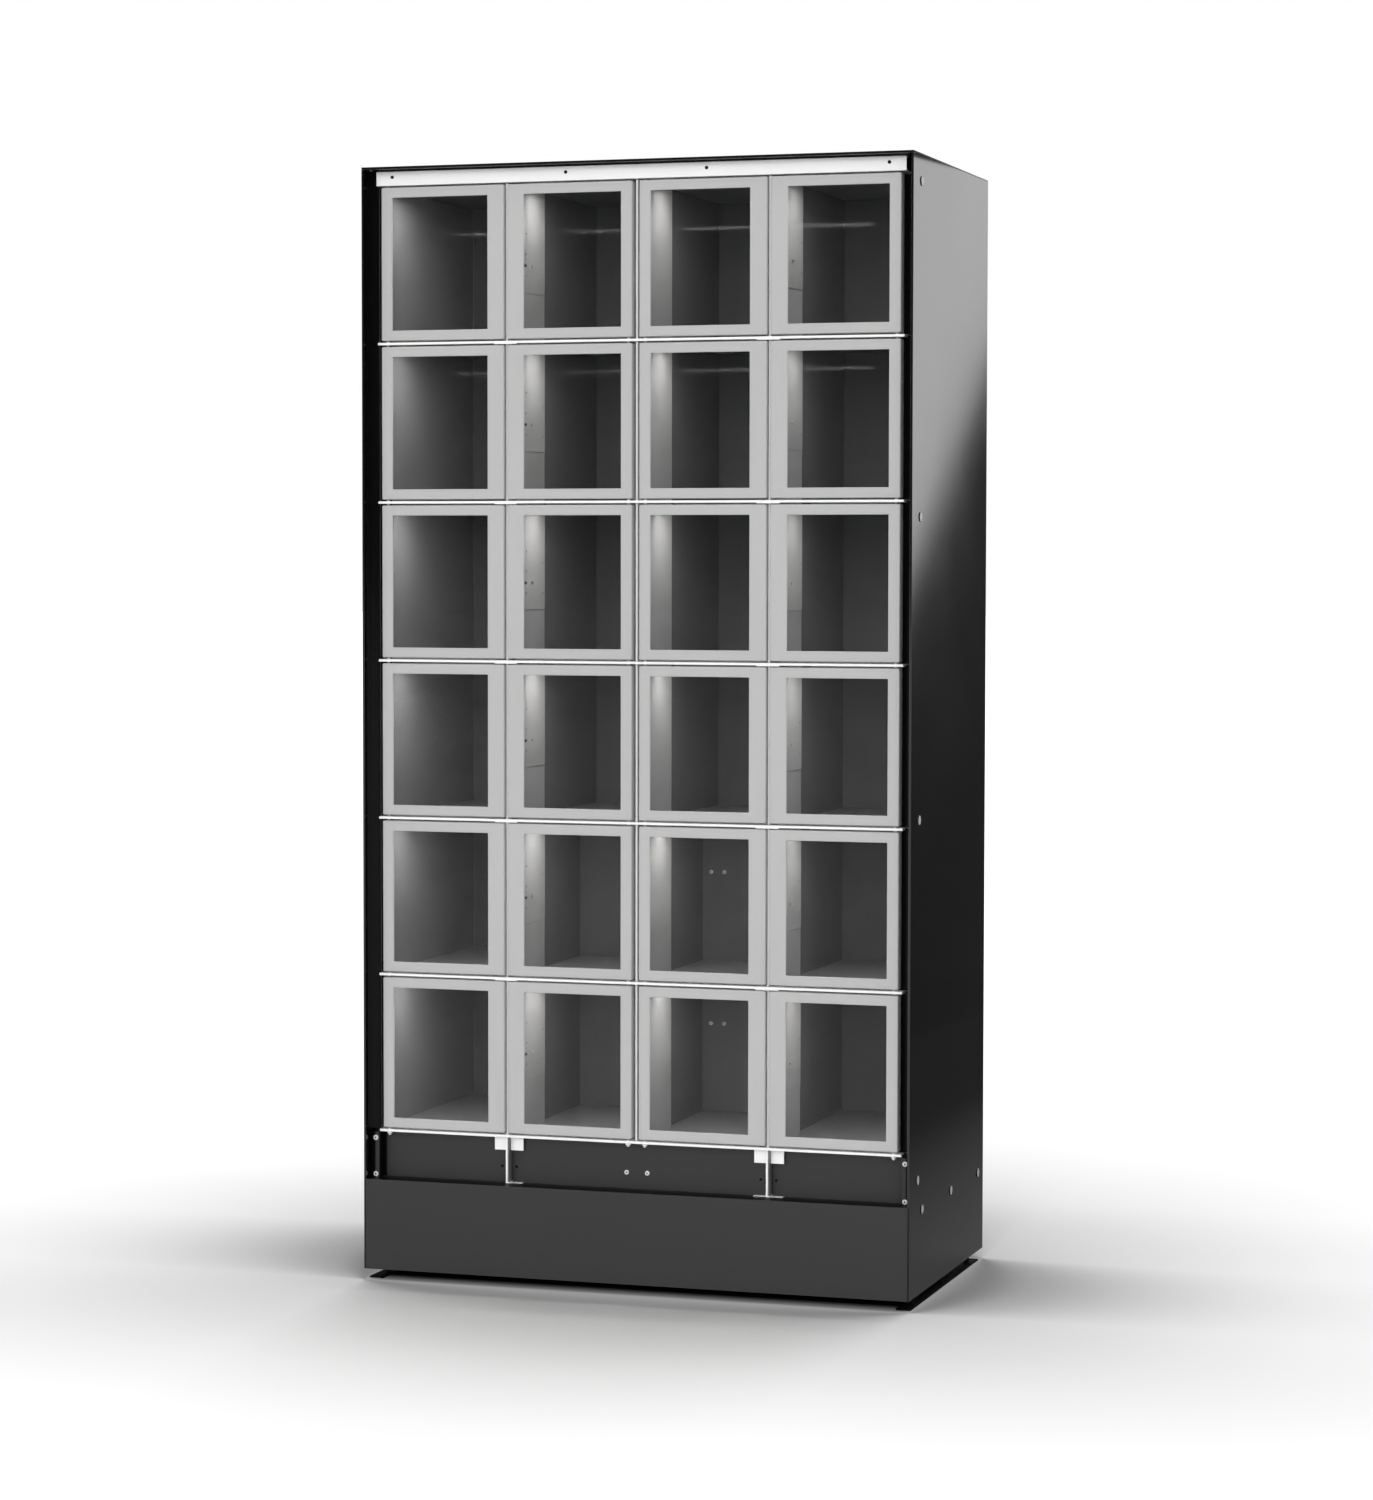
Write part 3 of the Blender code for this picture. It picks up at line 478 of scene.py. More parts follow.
def close_edit():
    """Ends the modelling of the open piece."""
    bpy.ops.object.mode_set(mode="OBJECT")


def settle(piece):
    """Puts the place, turn and size of the piece in its mesh."""
    pick(piece)
    bpy.ops.object.transform_apply(location=True, rotation=True, scale=True)


def apply_modifiers(piece):
    """Makes the work of the modifiers part of the mesh."""
    pick(piece)
    for modifier in list(piece.modifiers):
        bpy.ops.object.modifier_apply(modifier=modifier.name)


def smooth_bends(piece, angle=35):
    """Shades the rounded edges smooth and keeps the sharp ones."""
    pick(piece)
    bpy.ops.object.shade_smooth_by_angle(angle=radians(angle))


def copied(piece, name, shift):
    """A copy with its own mesh, moved in its mesh by the shift."""
    twin = piece.copy()
    twin.data = piece.data.copy()
    twin.name = name
    bpy.context.scene.collection.objects.link(twin)
    twin.data.transform(Matrix.Translation(Vector(shift)))
    return twin


def box_blank(name, low, high):
    """A block between two corners, as the start of a piece."""
    start()
    middle = (Vector(low) + Vector(high)) / 2
    bpy.ops.mesh.primitive_cube_add(size=1, location=middle)
    blank = bpy.context.object
    blank.name = name
    blank.scale = Vector(high) - Vector(low)
    settle(blank)
    return blank


def round_blank(name, middle, radius, depth, axis="Z", sides=24):
    """A round bar about its middle, as the start of a piece."""
    start()
    turn = {"Z": (0, 0, 0), "Y": (pi / 2, 0, 0), "X": (0, pi / 2, 0)}[axis]
    bpy.ops.mesh.primitive_cylinder_add(
        vertices=sides, radius=radius, depth=depth, location=middle, rotation=turn
    )
    blank = bpy.context.object
    blank.name = name
    settle(blank)
    return blank


def bright_metal(name, colour, roughness, metallic=0.9):
    """Plated or turned metal, or rubber where metallic is 0, with scratches and dull patches."""
    metal = bpy.data.materials.new(name)
    metal.use_nodes = True
    tree = metal.node_tree
    place = node(tree, "ShaderNodeTexCoord", output="Object")
    dull = node(tree, "ShaderNodeTexNoise", {"Vector": place, "Scale": 90.0, "Detail": 4.0})
    scratches = node(tree, "ShaderNodeTexNoise", {"Vector": place, "Scale": 900.0, "Detail": 2.0})
    shader = tree.nodes["Principled BSDF"]
    lower = tuple(0.72 * part for part in colour)
    tree.links.new(mixed(tree, dull, (*lower, 1), (*colour, 1)), shader.inputs["Base Color"])
    satin = ramp(tree, dull, 0.3, 0.7, roughness - 0.06, roughness + 0.10)
    tree.links.new(satin, shader.inputs["Roughness"])
    bump = {"Height": scratches, "Strength": 0.08, "Distance": 0.0002}
    tree.links.new(node(tree, "ShaderNodeBump", bump), shader.inputs["Normal"])
    shader.inputs["Metallic"].default_value = metallic
    return metal


zinc = bright_metal("bright_zinc", (0.72, 0.72, 0.71), 0.34)

FOOT_X = 0.37
FOOT_Y = 0.143
foot_nut = round_blank("foot_nut", (-FOOT_X, -FOOT_Y, 0.0155), 0.0115, 0.0065, sides=6)
edit(foot_nut)
choose(foot_nut, "EDGE", lambda middle, along: abs(along.z) < 0.5)
bpy.ops.mesh.bevel(offset=0.0008, segments=2)
close_edit()
smooth_bends(foot_nut, 30)
foot_nut.data.materials.append(zinc)
foot_nuts = [foot_nut]
foot_nuts.append(copied(foot_nut, "foot_nut_2", (2 * FOOT_X, 0, 0)))
foot_nuts.append(copied(foot_nut, "foot_nut_3", (0, 2 * FOOT_Y, 0)))
foot_nuts.append(copied(foot_nut, "foot_nut_4", (2 * FOOT_X, 2 * FOOT_Y, 0)))
for nut in foot_nuts:
    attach(nut, "cabinet")


# Skids
# Two flat black rubber skids lie on the ground under the side panels, from front to back. Three
# short studs hang each of them from the floor pan.
SKID_LOW = (-0.4985, -0.2530, 0.0004)
SKID_HIGH = (-0.4720, 0.2490, 0.0030)
SKIDS_APART = 0.9700
NEAR = 0.0001


def join(piece, *others):
    """Makes the others part of the piece's mesh."""
    pick(piece, *others)
    bpy.ops.object.join()


skid = box_blank("skid_left", SKID_LOW, SKID_HIGH)
edit(skid)
choose(skid, "EDGE", lambda middle, along: abs(along.z) > 0.9)
bpy.ops.mesh.bevel(offset=0.0020, segments=3)
choose(skid, "EDGE", lambda middle, along: middle.z > SKID_HIGH[2] - NEAR)
bpy.ops.mesh.bevel(offset=0.0006, segments=2)
close_edit()
studs = [
    round_blank("skid_stud", (-0.4830, y, 0.0112), 0.0050, 0.0168, sides=16)
    for y in (-0.20, 0.0, 0.20)
]
join(skid, *studs)
smooth_bends(skid)
skid_black = bright_metal("skid_black", (0.005, 0.005, 0.005), 0.85, metallic=0.0)
tone_down(skid_black, 0.05)
skid.data.materials.append(skid_black)
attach(skid, "cabinet")
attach(copied(skid, "skid_right", (SKIDS_APART, 0, 0)), "cabinet")


# Frame screws
# Round-headed bright screws with a hexagon socket: two through the bracket at the foot of each
# jamb, two in the middle recess panel, and a pair in the rear wall of each compartment that has
# the service box behind it. The floor of each socket is painted black: painted shade.
bright_nickel = bright_metal("bright_nickel", (0.95, 0.95, 0.94), 0.30, metallic=0.15)
black_rubber_and_painted_shade = bright_metal("black_rubber_and_painted_shade", (0.004, 0.004, 0.004), 0.7, metallic=0.0)


def face_outwards():
    """Turns all faces of the open piece to point outwards."""
    bpy.ops.mesh.select_all(action="SELECT")
    bpy.ops.mesh.normals_make_consistent(inside=False)


def screw_head(name, middle, radius, rise):
    """A domed head that faces forward, with a hexagon socket in its crown."""
    x, y, z = middle
    front = y - rise
    head = round_blank(name, (x, y - rise / 2, z), radius, rise, axis="Y", sides=20)
    edit(head)
    choose(head, "FACE", lambda centre, normal: normal.y < -0.9)
    bpy.ops.mesh.inset(thickness=radius * 0.34)
    bpy.ops.transform.translate(value=(0, -rise * 0.25, 0))
    bpy.ops.mesh.inset(thickness=radius * 0.28)
    bpy.ops.mesh.extrude_region_move(TRANSFORM_OT_translate={"value": (0, rise * 0.6, 0)})
    face_outwards()
    choose(head, "EDGE", lambda centre, along: abs(centre.y - front) < NEAR and abs(along.y) < 0.1)
    bpy.ops.mesh.bevel(offset=rise * 0.3, segments=2)
    close_edit()
    smooth_bends(head, 40)
    head.data.materials.append(bright_nickel)
    head.data.materials.append(black_rubber_and_painted_shade)
    # The floor of the socket gets the black: painted shade.
    crown = Vector((x, 0, z))
    for face in head.data.polygons:
        off_middle = (Vector((face.center.x, 0, face.center.z)) - crown).length
        if off_middle < radius * 0.36:
            face.material_index = 1
    return head


BRACKET_Y = -0.2490
SCREW_X = 0.4866
SCREW_DROP = 0.0652
jamb_screw = screw_head("bracket_screw_1", (-SCREW_X, BRACKET_Y, 0.2522), 0.0046, 0.0022)
jamb_screws = [
    jamb_screw,
    copied(jamb_screw, "bracket_screw_2", (0, 0, -SCREW_DROP)),
    copied(jamb_screw, "bracket_screw_3", (2 * SCREW_X, 0, 0)),
    copied(jamb_screw, "bracket_screw_4", (2 * SCREW_X, 0, -SCREW_DROP)),
]
recess_screw = screw_head("recess_screw_1", (-0.0224, -0.226, 0.2094), 0.0042, 0.0018)
recess_screws = [recess_screw, copied(recess_screw, "recess_screw_2", (0.0380, 0, 0))]
for screw in jamb_screws + recess_screws:
    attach(screw, "cabinet")

ROW_PITCH = 0.2792
FLOOR_TOP = 0.268
SERVICE_BOX_Y = 0.142
rear_place = (0.0175, SERVICE_BOX_Y, FLOOR_TOP + 0.163)
rear_screw = screw_head("rear_screw_1", rear_place, 0.0034, 0.0014)
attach(rear_screw, "cabinet")
rear_shifts = [(0.025, 0), (0, ROW_PITCH), (0.025, ROW_PITCH)]
rear_shifts += [(x, z) for z in (0, ROW_PITCH) for x in (-0.035, -0.060)]
for number, (x, z) in enumerate(rear_shifts, 2):
    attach(copied(rear_screw, f"rear_screw_{number}", (x, 0, z)), "cabinet")


# Jamb feet and door stops
# Two folded brackets, half charcoal and half black, stand on the ledge and take the screws of the
# jambs. Behind the outer doors a black flange closes the gap to the jamb, one per compartment.
JAMB_Y = -0.228
BRACKET_LOW = (-0.4962, BRACKET_Y, 0.1813)
BRACKET_HIGH = (-0.4804, BRACKET_Y + 0.0015, 0.2625)
BRACKET_PAINT_X = -0.4878
STOP_REAR_Y = -0.2234
deep_black = (0.0035, 0.0035, 0.0038)
black_rubbed = (0.010, 0.010, 0.010)
shell_black = powder_coat(
    "shell_black", deep_black, black_rubbed, roughness=0.16, grain=0.004, radius=0.0003
)
tone_down(shell_black, 0.08)
bracket = box_blank("jamb_foot_left", BRACKET_LOW, BRACKET_HIGH)
edit(bracket)
choose(bracket, "FACE", lambda middle, normal: normal.y > 0.9)
bpy.ops.mesh.extrude_region_move(TRANSFORM_OT_translate={"value": (0, 0, 0)})
bpy.ops.transform.resize(value=(0.1, 1, 1), center_override=(BRACKET_HIGH[0], BRACKET_Y, 0.222))
fold_depth = JAMB_Y - BRACKET_Y - 0.0020
bpy.ops.mesh.extrude_region_move(TRANSFORM_OT_translate={"value": (0, fold_depth, 0)})
choose(bracket, "EDGE", lambda middle, along: abs(along.z) > 0.9 and middle.y < BRACKET_Y + 0.0002)
bpy.ops.mesh.bevel(offset=0.0010, segments=3)
face_outwards()
bpy.ops.mesh.bisect(plane_co=(BRACKET_PAINT_X, 0, 0), plane_no=(1, 0, 0))
close_edit()
smooth_bends(bracket)
bracket.data.materials.append(shell_black)
bracket.data.materials.append(plinth_paint)
for face in bracket.data.polygons:
    if face.normal.y < -0.5 and face.center.x > BRACKET_PAINT_X:
        face.material_index = 1

stop = box_blank("door_stop", (-LINER_X, -0.2246, 0), (-0.4655, STOP_REAR_Y, 1))
edit(stop)
choose(stop, "FACE", lambda middle, normal: normal.x > 0.9)
bpy.ops.mesh.extrude_region_move(TRANSFORM_OT_translate={"value": (0, 0, 0)})
bpy.ops.transform.translate(value=(0, 0.004, 0))
choose(stop, "EDGE", lambda middle, along: abs(along.z) > 0.9 and middle.x > -0.47)
bpy.ops.mesh.bevel(offset=0.0005, segments=2)
face_outwards()
close_edit()
smooth_bends(stop)
stop.data.materials.append(shell_black)


def other_hand(piece, name, middle_x):
    """The piece made for the other hand: mirrored at an upright plane through middle_x."""
    twin = copied(piece, name, (-middle_x, 0, 0))
    twin.data.transform(Matrix.Scale(-1, 4, (1, 0, 0)))
    twin.data.transform(Matrix.Translation((middle_x, 0, 0)))
    edit(twin)
    face_outwards()
    close_edit()
    return twin


spans = [(BRACKET_LOW[2], 0.2635)]
for level in range(6):
    low = FLOOR_TOP + level * ROW_PITCH + 0.0003
    spans.append((low, low + ROW_PITCH - (0.0086 if level == 5 else 0.0018)))
for number, (low, high) in enumerate(spans):
    left_stop = copied(stop, f"door_stop_{number}_left", (0, 0, 0))
    left_stop.data.transform(Matrix.Scale(high - low, 4, (0, 0, 1)))
    left_stop.data.transform(Matrix.Translation((0, 0, low)))
    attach(left_stop, "cabinet")
    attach(other_hand(left_stop, f"door_stop_{number}_right", 0.0), "cabinet")
bpy.data.objects.remove(stop)
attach(bracket, "cabinet")
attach(other_hand(bracket, "jamb_foot_right", 0.0), "cabinet")


# Header plugs
# Four small black rubber plugs close the screw holes of the header rail. Each is a shallow cap,
# pressed in from the front, with its middle standing a little proud.
plug = round_blank("header_plug_1", (0, -0.2487, 1.9537), 0.0031, 0.0008, axis="Y", sides=20)
edit(plug)
choose(plug, "FACE", lambda middle, normal: normal.y < -0.9)
bpy.ops.mesh.inset(thickness=0.0007)
bpy.ops.transform.translate(value=(0, -0.0002, 0))
close_edit()
smooth_bends(plug)
plug.data.materials.append(black_rubber_and_painted_shade)
for number, x in enumerate((-0.4516, -0.1281, 0.1281, 0.4516), 1):
    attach(copied(plug, f"header_plug_{number}", (x, 0, 0)), "cabinet")
bpy.data.objects.remove(plug)


# Ringed holes
# Four pierced and dimpled holes beside the lock posts, where a cable tie or a screw may go.
# Each is a small raised eyelet round a shallow bore, whose floor is painted black: painted shade.
charcoal_rim = bright_metal("charcoal_rim", (0.055, 0.055, 0.056), 0.35, metallic=0.0)
EYELET_X = -0.2549
EYELET_Z = 0.209
EYELET_BORE = 0.0034
eyelet = round_blank(
    "recess_eyelet_1", (EYELET_X, -0.2264, EYELET_Z), 0.0046, 0.0010, axis="Y", sides=20
)
edit(eyelet)
choose(eyelet, "FACE", lambda middle, normal: normal.y < -0.9)
bpy.ops.mesh.inset(thickness=0.0012)
bpy.ops.mesh.extrude_region_move(TRANSFORM_OT_translate={"value": (0, 0.0008, 0)})
close_edit()
eyelet.data.materials.append(charcoal_rim)
eyelet.data.materials.append(black_rubber_and_painted_shade)
# The floor of the bore gets the black: painted shade.
for face in eyelet.data.polygons:
    off_middle = (face.center - Vector((EYELET_X, face.center.y, EYELET_Z))).length
    if face.normal.y < -0.9 and off_middle < EYELET_BORE:
        face.material_index = 1
smooth_bends(eyelet, 40)
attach(eyelet, "cabinet")
for number, x in enumerate((-0.2277, 0.2230, 0.2507), 2):
    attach(copied(eyelet, f"recess_eyelet_{number}", (x - EYELET_X, 0, 0)), "cabinet")


# Shelves
# Floor shelf and five shelves of white sheet. The thick front edge shows between the doors, and
# the plate behind it is painted light grey.
PLATE_GREY = (0.22, 0.22, 0.224)
EDGE_REAR_Y = -0.2279
EDGE_END_X = 0.4796


def shelf_colour(tree, place):
    """White on the front edge, grey on the plate behind it, black beyond the ends at the jambs."""
    y = coordinate(tree, place, "Y")
    rear = maths(tree, "GREATER_THAN", y, EDGE_REAR_Y)
    off_side = maths(tree, "ABSOLUTE", coordinate(tree, place, "X"))
    body = mixed(tree, rear, (*WHITE, 1), (*PLATE_GREY, 1))
    beyond = maths(tree, "GREATER_THAN", off_side, EDGE_END_X)
    at_jamb = maths(tree, "MULTIPLY", beyond, maths(tree, "LESS_THAN", y, STOP_REAR_Y))
    body = mixed(tree, at_jamb, body, (*BLACK, 1))
    satin = maths(tree, "ADD", 0.36, maths(tree, "MULTIPLY", rear, -0.06))
    return body, satin


WHITE_RUBBED = (0.62, 0.62, 0.61)
shelf_paint = powder_coat(
    "white_edge_and_grey_plate", shelf_colour, WHITE_RUBBED, cloud=0.03, radius=0.0008
)
dress("floor_shelf", shelf_paint)
for number in range(1, 6):
    dress(f"shelf_{number}", shelf_paint)


# Shelf lips and pivot bushes
# Below each shelf edge a short folded lip stiffens it where a lock partition passes, and white
# collars above and below the edge carry the pins of the doors. Under the floor shelf the lowest
# pins show their bright ends.
PIVOT_Y = -0.2396
LOCK_X = 0.2396
PIVOTS = (-0.4638, -0.0154, 0.0154, 0.4638)
SHELF_EDGE = 0.0043
LIP_HALF = 0.021
EDGE_LOW = FLOOR_TOP - SHELF_EDGE
white_trim = powder_coat(
    "white_trim", WHITE, WHITE_RUBBED, roughness=0.36, cloud=0.03, radius=0.0005
)

lip = box_blank(
    "shelf_lip_1_left",
    (-LOCK_X - LIP_HALF, -0.2490, EDGE_LOW - 0.0014),
    (-LOCK_X + LIP_HALF, -0.2478, EDGE_LOW + 0.0008),
)
edit(lip)
choose(lip, "EDGE", lambda middle, along: abs(along.y) > 0.9 and middle.z < EDGE_LOW)
bpy.ops.mesh.bevel(offset=0.0009, segments=3)
close_edit()
smooth_bends(lip)
lip.data.materials.append(white_trim)

bush_place = (PIVOTS[0], PIVOT_Y, FLOOR_TOP + 0.0005)
bush = round_blank("pivot_bush", bush_place, 0.0030, 0.0012, sides=18)
edit(bush)
choose(bush, "EDGE", lambda middle, along: middle.z > FLOOR_TOP + 0.001 and abs(along.z) < 0.1)
bpy.ops.mesh.bevel(offset=0.0004, segments=2)
close_edit()
smooth_bends(bush)
bush.data.materials.append(white_trim)

for level in range(6):
    raised = level * ROW_PITCH
    if level:
        for side, name in ((0, "left"), (2 * LOCK_X, "right")):
            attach(copied(lip, f"shelf_lip_{level}_{name}_trim", (side, 0, raised)), "cabinet")
    below = raised + (ROW_PITCH - SHELF_EDGE - 0.0010)
    for number, x in enumerate(PIVOTS, 1):
        across = x - PIVOTS[0]
        upper = copied(bush, f"pivot_bush_{level}_{number}_upper", (across, 0, raised))
        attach(upper, "cabinet")
        if level < 5:
            lower = copied(bush, f"pivot_bush_{level}_{number}_lower", (across, 0, below))
            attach(lower, "cabinet")
bpy.data.objects.remove(lip)
bpy.data.objects.remove(bush)

pin_end_place = (PIVOTS[0], PIVOT_Y, FLOOR_TOP - 0.0096)
pin_end = round_blank("lowest_pin_end_1", pin_end_place, 0.0026, 0.0032, sides=18)
edit(pin_end)
choose(pin_end, "EDGE", lambda middle, along: middle.z < FLOOR_TOP - 0.0105 and abs(along.z) < 0.1)
bpy.ops.mesh.bevel(offset=0.0006, segments=2)
close_edit()
smooth_bends(pin_end)
pin_end.data.materials.append(bright_nickel)
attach(pin_end, "cabinet")
for number, x in enumerate(PIVOTS[1:], 2):
    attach(copied(pin_end, f"lowest_pin_end_{number}", (x - PIVOTS[0], 0, 0)), "cabinet")


# Partitions
# Folded uprights between the columns: a white nose and a hollow light grey box in front, and a
# plain dark sheet behind that reaches the back of the liner.
BOX_REAR_Y = -0.081
NOSE_REAR_Y = -0.2232
POST_FOOT_Z = 0.1835
POST_TOP_Z = 0.2630
BOX_GREY = (0.34, 0.34, 0.34)
GREY_RUBBED = (0.45, 0.45, 0.45)
NOSE_WHITE = (0.72, 0.72, 0.72)


def partition_colour(tree, place):
    """White on the nose and posts, light grey on the box, and dark on the rear sheet.
    The cheeks of the posts that face right are painted dark grey: painted shade.
    """
    y = coordinate(tree, place, "Y")
    rear = maths(tree, "GREATER_THAN", y, BOX_REAR_Y + 0.0004)
    nose = maths(tree, "LESS_THAN", y, NOSE_REAR_Y)
    z = coordinate(tree, place, "Z")
    low = maths(tree, "LESS_THAN", z, POST_TOP_Z)
    x = coordinate(tree, place, "X")
    post_x = maths(tree, "MULTIPLY", maths(tree, "SIGN", x), LOCK_X)
    # One cheek of each post in the plinth recess is painted grey: painted shade.
    cheek = maths(tree, "GREATER_THAN", maths(tree, "SUBTRACT", x, post_x), 0.0004)
    risen = maths(tree, "GREATER_THAN", z, POST_FOOT_Z)
    cheek_painted_shade = maths(tree, "MULTIPLY", maths(tree, "MULTIPLY", low, cheek), risen)
    body = mixed(tree, rear, (*BOX_GREY, 1), (*LINER_GREY, 1))
    upper = mixed(tree, low, (*NOSE_WHITE, 1), (*WHITE, 1))
    body = mixed(tree, nose, body, upper)
    body = mixed(tree, cheek_painted_shade, body, (*LINER_GREY, 1))
    satin = maths(tree, "ADD", 0.36, maths(tree, "MULTIPLY", rear, -0.30))
    shader = tree.nodes["Principled BSDF"]
    tree.links.new(ramp(tree, rear, 0.0, 1.0, 0.5, 0.24), shader.inputs["Specular IOR Level"])
    return body, satin


partition_paint = powder_coat(
    "grey_box_and_dark_sheet", partition_colour, GREY_RUBBED, cloud=0.03, radius=0.0008
)
for side in ("left", "centre", "right"):
    dress(f"partition_{side}", partition_paint)


# Lock covers
# A thin steel plate over the lock in each compartment, on the side of the lock box. It has a
# keyhole and test holes along its front edge, a round stud, and stops short of the shelf. A black
# sheet just behind it is painted shadow in its seam and its holes.
COVER_Y = (-0.2215, -0.0825)
COVER_RISE = (0.088, 0.2712)
COVER_THICK = 0.0010
BOX_HALF = 0.012
light_grey = powder_coat(
    "light_grey_cover", BOX_GREY, GREY_RUBBED, roughness=0.36, cloud=0.04, radius=0.0006
)


def cut_out(piece, cutter):
    """Cuts the shape of the cutter out of the piece, and puts the cutter away."""
    cutting = piece.modifiers.new("cut", "BOOLEAN")
    cutting.object = cutter
    cutting.solver = "EXACT"
    apply_modifiers(piece)
    bpy.data.objects.remove(cutter)


cover_x = -LOCK_X + BOX_HALF
cover_low = FLOOR_TOP + COVER_RISE[0]
cover_high = FLOOR_TOP + COVER_RISE[1]
cover = box_blank(
    "lock_cover",
    (cover_x + 0.0004, COVER_Y[0], cover_low),
    (cover_x + COVER_THICK, COVER_Y[1], cover_high),
)
edit(cover)
choose(cover, "EDGE", lambda middle, along: abs(along.x) > 0.9)
bpy.ops.mesh.bevel(offset=0.003, segments=3)
choose(cover, "FACE", lambda middle, normal: normal.x > 0.9)
bpy.ops.mesh.inset(thickness=0.0004)
bpy.ops.transform.translate(value=(0.0003, 0, 0))
close_edit()
for y, rise, radius in (
    (-0.1785, 0.1909, 0.0022),
    (-0.1800, 0.1552, 0.0025),
    (-0.1800, 0.1460, 0.0015),
    (-0.1800, 0.1172, 0.0025),
    (-0.094, 0.1705, 0.0016),
    (-0.094, 0.1169, 0.0016),
):
    drill_place = (cover_x, y, FLOOR_TOP + rise)
    cut_out(cover, round_blank("drill", drill_place, radius, 0.006, axis="X", sides=12))
keyhole = box_blank(
    "keyhole",
    (cover_x - 0.003, -0.1880, FLOOR_TOP + 0.1330),
    (cover_x + 0.003, -0.1755, FLOOR_TOP + 0.1378),
)
cut_out(cover, keyhole)
cover.data.materials.append(light_grey)
smooth_bends(cover)
# Painted shadow: a black sheet behind the cover darkens its seam and its holes.
shadow_plate = box_blank(
    "lock_shadow_plate",
    (cover_x + 0.00005, COVER_Y[0] + 0.0005, cover_low + 0.0005),
    (cover_x + 0.0003, COVER_Y[1] - 0.0005, cover_high - 0.0005),
)
edit(shadow_plate)
choose(shadow_plate, "EDGE", lambda middle, along: abs(along.x) > 0.9)
bpy.ops.mesh.bevel(offset=0.0028, segments=3)
close_edit()
shadow_plate.data.materials.append(black_rubber_and_painted_shade)
join(cover, shadow_plate)

stud_place = (cover_x + 0.0022, -0.1504, FLOOR_TOP + 0.1361)
stud = round_blank("lock_stud", stud_place, 0.0031, 0.0024, axis="X", sides=20)
edit(stud)
choose(stud, "FACE", lambda middle, normal: normal.x > 0.9)
bpy.ops.mesh.inset(thickness=0.0010)
bpy.ops.transform.translate(value=(0.0007, 0, 0))
bpy.ops.mesh.inset(thickness=0.0012)
bpy.ops.mesh.extrude_region_move(TRANSFORM_OT_translate={"value": (-0.0010, 0, 0)})
close_edit()
smooth_bends(stud, 50)
stud.data.materials.append(zinc)

cover_left = other_hand(cover, "lock_cover_left", -LOCK_X)
stud_left = other_hand(stud, "lock_stud_left", -LOCK_X)
for row in range(1, 7):
    raised = (6 - row) * ROW_PITCH
    for column, plate, knob, shift in (
        (1, cover_left, stud_left, 0),
        (2, cover, stud, 0),
        (3, cover_left, stud_left, 2 * LOCK_X),
        (4, cover, stud, 2 * LOCK_X),
    ):
        place = (shift, 0, raised)
        lock_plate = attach(copied(plate, f"lock_cover_r{row}_c{column}", place), "cabinet")
        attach(copied(knob, f"lock_stud_r{row}_c{column}", place), "cabinet")
for master in (cover, cover_left, stud, stud_left):
    bpy.data.objects.remove(master)


# Light bars
# A short lamp hangs under the roof of each compartment near its front: a grey channel with
# rounded ends and a front skirt, and behind the skirt a milky strip that glows down and back.
BAR_COLUMNS = (-0.368, -0.120, 0.120, 0.368)
BAR_X = BAR_COLUMNS[1]
BAR_Y = -0.154
BAR_HALF = 0.077
BAR_HEIGHT = 0.0092
GLOW_HEIGHT = 0.0009
SKIRT = 0.0014
GLOW = 72.0
bar_grey = powder_coat(
    "lamp_channel", (0.30, 0.30, 0.30), (0.4, 0.4, 0.4), roughness=0.4, radius=0.0004
)
diffuser = bpy.data.materials.new("lamp_diffuser")
diffuser.use_nodes = True
tree = diffuser.node_tree
shader = tree.nodes["Principled BSDF"]
place = node(tree, "ShaderNodeTexCoord", output="Object")
milky = node(tree, "ShaderNodeTexNoise", {"Vector": place, "Scale": 120.0, "Detail": 2.0})
milk = mixed(tree, milky, (0.80, 0.81, 0.82, 1), (0.92, 0.93, 0.94, 1))
tree.links.new(milk, shader.inputs["Base Color"])
tree.links.new(ramp(tree, milky, 0.3, 0.7, 0.42, 0.55), shader.inputs["Roughness"])
shader.inputs["Emission Color"].default_value = (1.0, 0.985, 0.96, 1)
shader.inputs["Emission Strength"].default_value = GLOW

ROOF = FLOOR_TOP + ROW_PITCH - 0.0012
bar_low = ROOF - BAR_HEIGHT - GLOW_HEIGHT - SKIRT
tube_low = ROOF - BAR_HEIGHT - GLOW_HEIGHT
bar = box_blank(
    "light_bar",
    (BAR_X - BAR_HALF, BAR_Y - 0.0085, bar_low),
    (BAR_X + BAR_HALF, BAR_Y + 0.0085, ROOF - 0.0002),
)
edit(bar)
choose(bar, "EDGE", lambda middle, along: abs(along.z) > 0.9)
bpy.ops.mesh.bevel(offset=0.004, segments=3)
close_edit()
trough = box_blank(
    "trough",
    (BAR_X - BAR_HALF - 0.01, BAR_Y - 0.0060, bar_low - 0.01),
    (BAR_X + BAR_HALF + 0.01, BAR_Y + 0.02, ROOF - BAR_HEIGHT),
)
cut_out(bar, trough)
bar.data.materials.append(bar_grey)
tube = box_blank(
    "light_tube",
    (BAR_X + 0.002 - BAR_HALF, BAR_Y - 0.0060, tube_low),
    (BAR_X - 0.002 + BAR_HALF, BAR_Y + 0.0080, ROOF - BAR_HEIGHT + 0.0003),
)
edit(tube)
choose(tube, "EDGE", lambda middle, along: abs(along.z) > 0.9 and middle.y > BAR_Y)
bpy.ops.mesh.bevel(offset=0.0035, segments=3)
choose(tube, "EDGE", lambda middle, along: middle.z < tube_low + NEAR and middle.y > BAR_Y - 0.005)
bpy.ops.mesh.bevel(offset=0.0004, segments=2)
